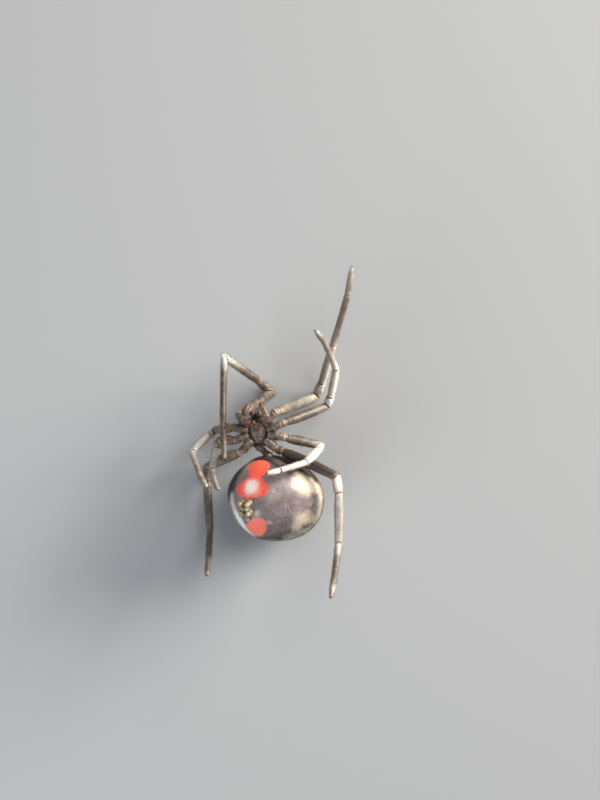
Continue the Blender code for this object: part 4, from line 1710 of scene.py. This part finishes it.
    def plate(
        self, middle: tuple, half: tuple, power: float, taper: float, finish: int, scallop: float = 0.0
    ) -> Shell:
        """Blunt convex plate.

        Args:
            middle: its middle, in the front body's directions.
            half: its half sizes.
            power: how square it is, 2 for an ellipsoid.
            taper: how much its back end narrows.
            finish: which of the front body's finishes it takes.
            scallop: depth of the notches round its edge.

        Returns:
            The plate.
        """
        ways, tris = round_ways(5)
        size = np.array(half)
        reach = 1.0 / (np.abs(ways / size) ** power).sum(axis=1) ** (1.0 / power)
        own = ways * reach[:, None]
        turn = np.arctan2(own[:, 1], own[:, 0])
        own[:, 1] *= 1.0 - taper * smooth_step(-own[:, 0] / size[0], -0.5, 1.0)
        own[:, :2] *= 1.0 + scallop * np.cos(turn * 11.0)[:, None]
        edge = np.hypot(own[:, 0] / size[0], own[:, 1] / size[1])
        own[:, 2] -= 0.030 * bell(edge, 0.86, 0.06) * size[2] / 0.58
        marks = {"joint": 0.6 * bell(edge, 0.9, 0.1)}
        return Shell(self.placed(np.array(middle) + own), tris, marks=marks, finish=finish)

    def coxa(self, pose: LegPose) -> tuple[Loft, Loft]:
        """Drum from the sternum out to a leg.

        Args:
            pose: the leg's pose.

        Returns:
            The drum, and the sleeve between it and the leg.
        """
        hip, way = self.hip(pose)
        thigh = unit(np.array(pose.knee) - hip)
        hinge = unit(np.cross(way, thigh))
        radius = self.coxa_radius * (0.5 + 0.5 * pose.stoutness)
        root = hip - way * (self.coxa_reach - self.coxa_root)
        drum = segment(root, hip, self.coxa_profile, radius, way, thigh, hinge)
        return drum, membrane(hip, way, thigh, radius * 0.80, hinge)

    def eyes(self) -> list[Shell]:
        """Eight lenses in two rows."""
        ways, tris = round_ways(4)
        return [Shell(self.placed(place + ways * self.eye_radius), tris) for place in self.eye_places()]

    def jaw(self, side: int) -> tuple[Loft, Shell]:
        """One chelicera with its fang.

        Args:
            side: 1 for the left and -1 for the right.

        Returns:
            The jaw and the fang.
        """
        count, fang_count = 44, 22
        root = self.mirrored(self.jaw_root, side)
        end = root + unit(self.jaw_way) * self.jaw_length
        bend = root + np.array((0.02, 0.0, 0.10))
        path = curve([self.mirrored(self.jaw_inside, side), bend, root * 0.55 + end * 0.45, end], count)
        shares = np.linspace(0.0, 1.0, count)
        radii = self.jaw_radius * follow(self.jaw_profile, shares) * rounded(count, 0.03, 0.10)
        basal = tube(path, radii, (0, 1, 0), 28, 0.94)
        basal.marks["joint"] = 0.8 * bell(shares, 1.0, 0.16) + 0.5 * bell(shares, 0.1, 0.2)
        basal.rings = self.placed(basal.rings)
        basal.centres = self.placed(basal.centres)
        route = [end + self.mirrored(place, side) for place in self.fang_route]
        radii = follow(self.fang_profile, np.linspace(0.0, 1.0, fang_count))
        fang = tube(self.placed(curve(route, fang_count)), radii, self.axes[:, 1], 16)
        return basal, fang.shell()

    def palp(self, side: int) -> tuple[Loft, Shell]:
        """One palp of five joints.

        Args:
            side: 1 for the left and -1 for the right.

        Returns:
            The palp and its claw.
        """
        count, claw_count = 90, 10
        points = np.array([self.mirrored(place, side) for place in self.palp_route])
        steps = distances(points)
        knots = steps / steps[-1]
        shares = np.linspace(0.0, 1.0, count)
        places = (0.0, knots[1], knots[3], knots[4], knots[5], 1.0)
        radii = self.palp_radius * follow(tuple(zip(places, self.palp_radii)), shares)
        joints = np.zeros(count)
        for knot in knots[1:5]:
            joints = np.maximum(joints, bell(shares, knot, 0.016))
            waist, swelling = bell(shares, knot, 0.010), bell(shares, knot - 0.028, 0.012)
            radii = radii * (1.0 - 0.16 * waist + 0.05 * swelling)
        radii = radii * rounded(count, 0.03, 0.05)
        loft = tube(self.placed(curve(points, count)), radii, self.axes[:, 1], 22)
        loft.marks["joint"] = joints * 0.9
        route = self.placed([self.mirrored(place, side) for place in self.palp_claw_route])
        claw = tube(curve(route, claw_count), np.linspace(0.035, 0.004, claw_count), self.axes[:, 1], 8)
        return loft, claw.shell()

    def pedicel(self, abdomen: Abdomen) -> Loft:
        """Waist from inside the thorax into the abdomen's front.

        Args:
            abdomen: the abdomen that it joins.

        Returns:
            The waist.
        """
        count = 60
        start = self.placed((-self.thorax_back - self.thorax_half[0], 0.0, self.pedicel_start))
        leaving = -self.axes[:, 0]
        mound = sagittal(abdomen.pedicel_angle)
        end = abdomen.middle + abdomen.axes @ abdomen.globe(mound[None])[0]
        arriving = abdomen.axes @ -mound
        pull = float(np.linalg.norm(end - start)) * self.pedicel_pull
        shares = np.linspace(0.0, 1.0, count)
        part = shares[:, None]
        first, last = start - leaving * self.pedicel_overlap, end + arriving * self.pedicel_overlap
        path = first * (1.0 - part) ** 3 + last * part**3
        path = path + (start + leaving * pull) * 3.0 * part * (1.0 - part) ** 2
        path = path + (end - arriving * pull) * 3.0 * part**2 * (1.0 - part)
        depth, often = self.pedicel_rings
        rings = 1.0 + depth * np.sin(shares * often * FULL_TURN) * bell(shares, 0.5, 0.3)
        flare = 1.0 + 0.75 * bell(shares, 0.16, 0.16) + 0.75 * bell(shares, 0.84, 0.16)
        radii = self.pedicel_radius * flare * rings * rounded(count, 0.03, 0.03)
        loft = tube(path, radii, self.axes[:, 1], 22)
        loft.marks["joint"] = 0.6 * bell(shares, 0.5, 0.3)
        return loft

    def ball_roots(
        self, random: np.random.Generator, count: int, middle: tuple, half: tuple, low: float
    ) -> Roots:
        """Hair roots over one side of a ball.

        Args:
            random: source of the scatter.
            count: how many are tried.
            middle: the ball's middle.
            half: its half sizes.
            low: share of its height from which hairs start, towards the belly where it isn't negative.

        Returns:
            The roots.
        """
        ways = unit(random.normal(0.0, 1.0, (count, 3)))
        ways = ways[ways[:, 2] < -low] if low >= 0.0 else ways[ways[:, 2] > -low]
        own = ways / np.sqrt(((ways / np.array(half)) ** 2).sum(axis=1))[:, None]
        outward = unit(own / np.array(half) ** 2)
        back = np.array((-1.0, 0.0, 0.0))
        back = unit(back - outward * (outward @ back)[:, None] + 1e-6)
        places = self.placed(np.array(middle) + own)
        spots = round_spots(ways) * self.ball_map_share
        return Roots(places, outward @ self.axes.T, back @ self.axes.T, spots)

    def build(self, abdomen: Abdomen, finishes: dict[str, bpy.types.Material]) -> None:
        """Make the front body's pieces and dress them.

        Args:
            abdomen: the abdomen, which the waist joins.
            finishes: the shared finishes.
        """
        random = np.random.default_rng(self.seed)
        carapace_paint, plate_paint, jaw_paint = (shell.make() for shell in self.shells)
        sternum_middle = (-0.05, 0.0, -self.sternum_depth * 0.62)
        shells = [self.carapace(), self.plate(sternum_middle, self.sternum_half, 2.5, 0.42, 1, 0.02)]
        hairs = []
        count, hair = self.coxa_hair
        for pose in LEGS.values():
            drum, sleeve = self.coxa(pose)
            shells += [drum.shell(1), sleeve.shell(2)]
            band = (pose.pair * 0.25, pose.pair * 0.25 + 0.24)
            hairs.append(hair.grow(drum.roots(random, count, band, (0.4, 0.95)), random))
        for (ahead, aside, deep, half), sides, power, taper in (
            (self.mouth_plate, (-1, 1), 2.3, 0.1), (self.lip_plate, (1,), 2.4, -0.1)
        ):
            for side in sides:
                middle = (ahead, side * aside, -self.sternum_depth * deep)
                shells.append(self.plate(middle, half, power, taper, 3))
        paints = [carapace_paint, plate_paint, finishes["membrane"], jaw_paint]
        make_piece("front_body", shells, paints, ("cephalothorax",))
        make_piece("waist", [self.pedicel(abdomen).shell()], [carapace_paint], ("pedicel",))
        make_piece("eyes", self.eyes(), [EyeGlass().make()])
        thorax_middle = (-self.thorax_back, 0.0, 0.0)
        for (count, hair), middle, half, low in (
            (self.sternum_hair, sternum_middle, self.sternum_half, 0.25),
            (self.back_hair, thorax_middle, self.thorax_half, -0.05),
        ):
            hairs.append(hair.grow(self.ball_roots(random, count, middle, half, low), random))
        claws = []
        for name, side in (("left", 1), ("right", -1)):
            basal, fang = self.jaw(side)
            make_piece(f"jaw_{name}", [basal.shell()], [jaw_paint], (f"chelicera_{name}",))
            palp, claw = self.palp(side)
            make_piece(f"palp_{name}", [palp.shell()], [jaw_paint], (f"pedipalp_{name}",))
            claws += [fang, claw]
            for loft, (count, hair), span in (
                (basal, self.jaw_hair, (0.35, 0.92)), (palp, self.palp_hair, (0.15, 0.98))
            ):
                hairs.append(hair.grow(loft.roots(random, count, (0.0, 1.0), span), random))
        make_piece("fangs", claws, [finishes["claw"]])
        make_piece("front_hair", hairs, [finishes["bristle"]])


# Legs


@dataclass(frozen=True)
class LegPart:
    """One piece of a leg: its radius along it, its bow, how thick its hairs stand and how long they are."""

    name: str
    profile: tuple
    bow: float
    hairs_per_area: float
    hair_length: float
    bristled: bool = True


PARTS = (
    LegPart("trochanter", ((0.0, 0.35), (0.5, 0.385), (1.0, 0.34)), 0.0, 16.0, 0.22, False),
    LegPart(
        "femur",
        ((0.0, 0.33), (0.08, 0.41), (0.34, 0.46), (0.74, 0.425), (0.93, 0.385), (1.0, 0.38)),
        0.05, 32.0, 0.27,
    ),
    LegPart("patella", ((0.0, 0.365), (0.5, 0.405), (1.0, 0.345)), 0.02, 50.0, 0.30),
    LegPart("tibia", ((0.0, 0.325), (0.30, 0.36), (0.75, 0.33), (1.0, 0.30)), 0.03, 60.0, 0.33),
    LegPart("metatarsus", ((0.0, 0.285), (0.20, 0.275), (1.0, 0.255)), 0.03, 72.0, 0.30),
    LegPart("tarsus", ((0.0, 0.25), (0.55, 0.245), (0.88, 0.175), (1.0, 0.13)), 0.02, 110.0, 0.22, False),
)


@dataclass(frozen=True)
class Leg:
    """One leg from its trochanter to its claws, with its bristles."""

    name: str
    pose: LegPose
    trochanter_share: float = 0.105
    patella_share: float = 0.24
    patella_turn: float = 0.16
    tarsus_share: float = 0.30
    foot_bow: float = 0.035
    foot_overlap: float = 0.05
    inner_gap: float = 0.12
    sleeve_share: float = 0.89
    hair_radius: float = 0.0070
    bristle_count: int = 12
    bristle: Hair = Hair(0.46, 0.012, 0.52, 0.30)
    comb_count: int = 10
    comb_hair: Hair = Hair(0.24, 0.020, 0.5, 0.6)
    claw_radii: tuple = (0.034, 0.004)

    def joints(self, hip: np.ndarray) -> list[np.ndarray]:
        """Places from the hip to the tip.

        Args:
            hip: where the leg leaves its coxa.

        Returns:
            Hip, end of the trochanter, knee, end of the patella, ankle, end of the metatarsus and tip.
        """
        knee, ankle, tip = (np.array(place) for place in (self.pose.knee, self.pose.ankle, self.pose.tip))
        thigh, shin = unit(knee - hip), unit(ankle - knee)
        patella_way = unit(shin + thigh * self.patella_turn)
        patella_end = knee + patella_way * np.linalg.norm(ankle - knee) * self.patella_share
        foot = tip - ankle
        bow = unit(unit(foot) - shin) * np.linalg.norm(foot) * self.foot_bow
        metatarsus_end = ankle + foot * (1.0 - self.tarsus_share) - bow
        trochanter_end = hip + (knee - hip) * self.trochanter_share
        return [hip, trochanter_end, knee, patella_end, ankle, metatarsus_end, tip]

    def lofts(self, joints: list[np.ndarray], ways: list[np.ndarray], hinge: np.ndarray) -> list[Loft]:
        """The six hard pieces, with the marks that their finish reads.

        Args:
            joints: places from the hip to the tip.
            ways: directions of the coxa and of each piece, the last of them twice.
            hinge: axis that the leg bends about.

        Returns:
            The pieces from the trochanter to the tarsus.
        """
        lofts = []
        for index, part in enumerate(PARTS):
            start, end = joints[index : index + 2]
            before, ahead, after = ways[index : index + 3]
            gap = GAP if index else self.inner_gap
            loft = segment(start, end, part.profile, self.pose.stoutness, before, after, hinge, gap, part.bow)
            places = np.linspace(0.0, 1.0, len(loft.rings))
            if part is PARTS[-1]:
                stretch = (GAP / 2.0 + self.foot_overlap) * smooth_step(places[:, None, None], 0.5, 1.0)
                loft.rings = loft.rings + ahead * stretch
            # Marks of painted highlight, painted shade, and painted shade on the side turned from the light
            loft.marks["pale"] = follow(self.pose.pale, index + places)
            loft.marks["dusk"] = follow(self.pose.dusk, index + places)
            outward = unit(loft.rings - loft.centres[:, None])
            loft.marks["under"] = smooth_step(outward @ SHADED_SIDE, -0.22, 0.52)
            lofts.append(loft)
        return lofts

    def sleeve(self, index: int, joint: np.ndarray, ways: list[np.ndarray], hinge: np.ndarray) -> Loft:
        """Soft sleeve in the joint before one of the pieces.

        Args:
            index: the piece's number.
            joint: the joint's place.
            ways: directions of the coxa and of each piece.
            hinge: axis that the leg bends about.

        Returns:
            The sleeve.
        """
        thinner = min(PARTS[index - 1].profile[-1][1], PARTS[index].profile[0][1])
        radius = thinner * self.pose.stoutness * self.sleeve_share
        return membrane(joint, ways[index], ways[index + 1], radius, hinge)

    def coat(self, lofts: list[Loft], joints: list[np.ndarray], random: np.random.Generator) -> list[Shell]:
        """Hairs and bristles, paler on painted highlights and darker on painted shade.

        Args:
            lofts: the hard pieces.
            joints: places from the hip to the tip.
            random: source of their scatter.

        Returns:
            The hairs of each piece.
        """
        coat = []
        for index, (part, loft) in enumerate(zip(PARTS, lofts)):
            # The hairs take up the leg's painted highlights and painted shade
            tone = float(0.8 * loft.marks["pale"].mean() - 0.7 * loft.marks["dusk"].mean()) - 0.15
            area = FULL_TURN * part.profile[1][1] * float(np.linalg.norm(joints[index + 1] - joints[index]))
            band = (index / 6.0, (index + 0.95) / 6.0)
            roots = loft.roots(random, int(area * part.hairs_per_area), band, (0.12, 0.93))
            coat.append(Hair(part.hair_length, self.hair_radius, 0.70, 0.35).grow(roots, random, tone))
            if part.bristled:
                roots = loft.roots(random, self.bristle_count, band, (0.2, 0.9))
                coat.append(self.bristle.grow(roots, random, tone))
        return coat

    def claws(self, tip: np.ndarray, ahead: np.ndarray, inward: np.ndarray) -> list[Shell]:
        """Two curved claws and a small one between them.

        Args:
            tip: of the leg.
            ahead: direction of its last piece.
            inward: direction that they curve to.

        Returns:
            The claws.
        """
        count = 12
        level = np.cross(ahead, inward)
        shells = []
        for aside, reach in ((-1.0, 1.0), (1.0, 1.0), (0.0, 0.7)):
            root = tip + ahead * 0.05 + level * aside * 0.045
            points = [
                root - ahead * 0.06,
                root + ahead * 0.09 * reach + level * aside * 0.015,
                root + (ahead * 0.13 + inward * 0.07 + level * aside * 0.03) * reach,
                root + (ahead * 0.10 + inward * 0.15 + level * aside * 0.03) * reach,
            ]
            radii = np.linspace(*self.claw_radii, count) * self.pose.stoutness
            shells.append(tube(curve(points, count), radii, level, 8).shell())
        return shells

    def comb(self, tarsus: Loft, inward: np.ndarray, random: np.random.Generator) -> Shell:
        """Row of stout curved bristles below the last joint of a hind leg.

        Args:
            tarsus: the leg's last piece.
            inward: direction that they point in.
            random: source of their small differences.

        Returns:
            The bristles.
        """
        rings = np.linspace(10, 40, self.comb_count).astype(int)
        places = tarsus.rings[rings, tarsus.rings.shape[1] // 16]
        ones = np.ones((self.comb_count, 1))
        ahead = unit(tarsus.centres[-1] - tarsus.centres[0]) * ones
        lengthways = 0.8 + 0.19 * np.linspace(0.0, 1.0, self.comb_count)[:, None]
        spots = np.concatenate((0.02 * ones, lengthways), axis=1)
        return self.comb_hair.grow(Roots(places, inward * ones, ahead, spots), random)

    def build(self, front: FrontBody, finishes: dict[str, bpy.types.Material], seed: int) -> list[Shell]:
        """Make the leg and its coat and dress them.

        Args:
            front: the front body, which carries it.
            finishes: the shared finishes.
            seed: of its bristles.

        Returns:
            Its claws, which go into one piece with the others.
        """
        random = np.random.default_rng(seed)
        hip, coxa_way = front.hip(self.pose)
        joints = self.joints(hip)
        ways = [coxa_way] + [unit(end - start) for start, end in zip(joints, joints[1:])]
        ways.append(ways[-1])
        hinge = unit(np.cross(ways[2], ways[4]))
        inward = np.cross(unit(hinge - ways[-1] * hinge.dot(ways[-1])), ways[-1])
        lofts = self.lofts(joints, ways, hinge)
        shells = [lofts[0].shell()]
        for index in range(1, len(PARTS)):
            shells += [lofts[index].shell(), self.sleeve(index, joints[index], ways, hinge).shell(1)]
        coat = self.coat(lofts, joints, random)
        if self.pose.pair == 3:
            coat.append(self.comb(lofts[-1], inward, random))
        replaced = tuple(f"{self.name}_{part.name}" for part in PARTS[1:])
        make_piece(self.name, shells, [finishes["leg"], finishes["membrane"]], replaced)
        make_piece(f"{self.name}_bristles", coat, [finishes["bristle"]])
        return self.claws(joints[-1], ways[-1], inward)


# Studio


@dataclass(frozen=True)
class Studio:
    """Pale floor, soft light from the upper right, and the camera straight above, in millimetres."""

    floor_size: float = 600.0
    camera_place: tuple = (2.515, 2.6725, 164.6)
    lens: float = 85.0
    sensor: float = 36.0
    aim: tuple = (0.5, -3.0, 3.0)
    # Name, place, diameter, watts and colour
    lamps: tuple = (
        ("key", (375.0, 220.0, 115.0), 275.0, 6.25, (1.0, 0.95, 0.86)),
        ("overhead", (60.0, 60.0, 150.0), 90.0, 0.12, (1.0, 0.98, 0.95)),
        ("fill", (-110.0, -95.0, 55.0), 110.0, 0.16, (0.90, 0.95, 1.0)),
    )
    sky: Colour = (0.86, 0.92, 1.0)
    sky_strength: float = 0.32

    def floor(self) -> None:
        """The floor under the spider."""
        mesh = bpy.data.meshes.new("floor")
        half = self.floor_size / 2.0 * MM
        corners = [(-half, -half, 0), (half, -half, 0), (half, half, 0), (-half, half, 0)]
        mesh.from_pydata(corners, [], [(0, 1, 2, 3)])
        mesh.materials.append(PaleFloor().make())
        floor = bpy.data.objects.new("floor", mesh)
        bpy.context.scene.collection.objects.link(floor)

    def lamp(self, name: str, place: tuple, size: float, power: float, colour: Colour) -> None:
        """Soft round light that faces the spider.

        Args:
            name: the light's name.
            place: where it is.
            size: its diameter.
            power: in watts.
            colour: of its light.
        """
        light = bpy.data.lights.new(name, "AREA")
        light.shape = "DISK"
        light.size = size * MM
        light.energy = power
        light.color = colour
        lamp = bpy.data.objects.new(name, light)
        lamp.location = Vector(place) * MM
        lamp.rotation_euler = (Vector(self.aim) - Vector(place)).to_track_quat("-Z", "Y").to_euler()
        bpy.context.scene.collection.objects.link(lamp)

    def surroundings(self) -> None:
        """Even light from all round."""
        world = bpy.data.worlds.new("studio")
        world.use_nodes = True
        background = world.node_tree.nodes["Background"]
        background.inputs["Color"].default_value = (*self.sky, 1.0)
        background.inputs["Strength"].default_value = self.sky_strength
        bpy.context.scene.world = world
        bpy.context.scene.view_settings.view_transform = "Standard"

    def camera(self) -> None:
        """The camera, which looks straight down."""
        data = bpy.data.cameras.new("camera")
        data.lens = self.lens
        data.sensor_width = self.sensor
        data.clip_start = 0.001
        data.clip_end = 10.0
        camera = bpy.data.objects.new("camera", data)
        camera.location = Vector(self.camera_place) * MM
        bpy.context.scene.collection.objects.link(camera)
        bpy.context.scene.camera = camera

    def build(self) -> None:
        """Make the floor, lights, surroundings and camera."""
        self.floor()
        for lamp in self.lamps:
            self.lamp(*lamp)
        self.surroundings()
        self.camera()


def main() -> None:
    """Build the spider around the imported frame."""
    logging.basicConfig(level=logging.INFO, format="%(message)s")
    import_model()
    Studio().build()
    # The light mottle and the joint colour are far paler than black legs: painted reflection of bright
    # surroundings
    leg = Cuticle(
        "leg_shell", (0.055, 0.038, 0.029), (0.245, 0.192, 0.145), (0.58, 0.45, 0.31), 0.40, gloss=0.14
    )
    finishes = {
        "leg": leg.make(),
        "membrane": Membrane().make(),
        "bristle": Spike("bristle_horn", (0.10, 0.070, 0.050), (0.62, 0.52, 0.42), 0.34).make(),
        "claw": Spike("claw_horn", (0.014, 0.007, 0.005), (0.060, 0.022, 0.012), 0.18).make(),
    }
    abdomen = Abdomen()
    abdomen.build()
    front = FrontBody()
    front.build(abdomen, finishes)
    claws = []
    for index, (name, pose) in enumerate(LEGS.items()):
        claws += Leg(name, pose).build(front, finishes, LEG_SEED + index)
    make_piece("claws", claws, [finishes["claw"]])
    bpy.context.view_layer.update()


if __name__ == "__main__":
    main()
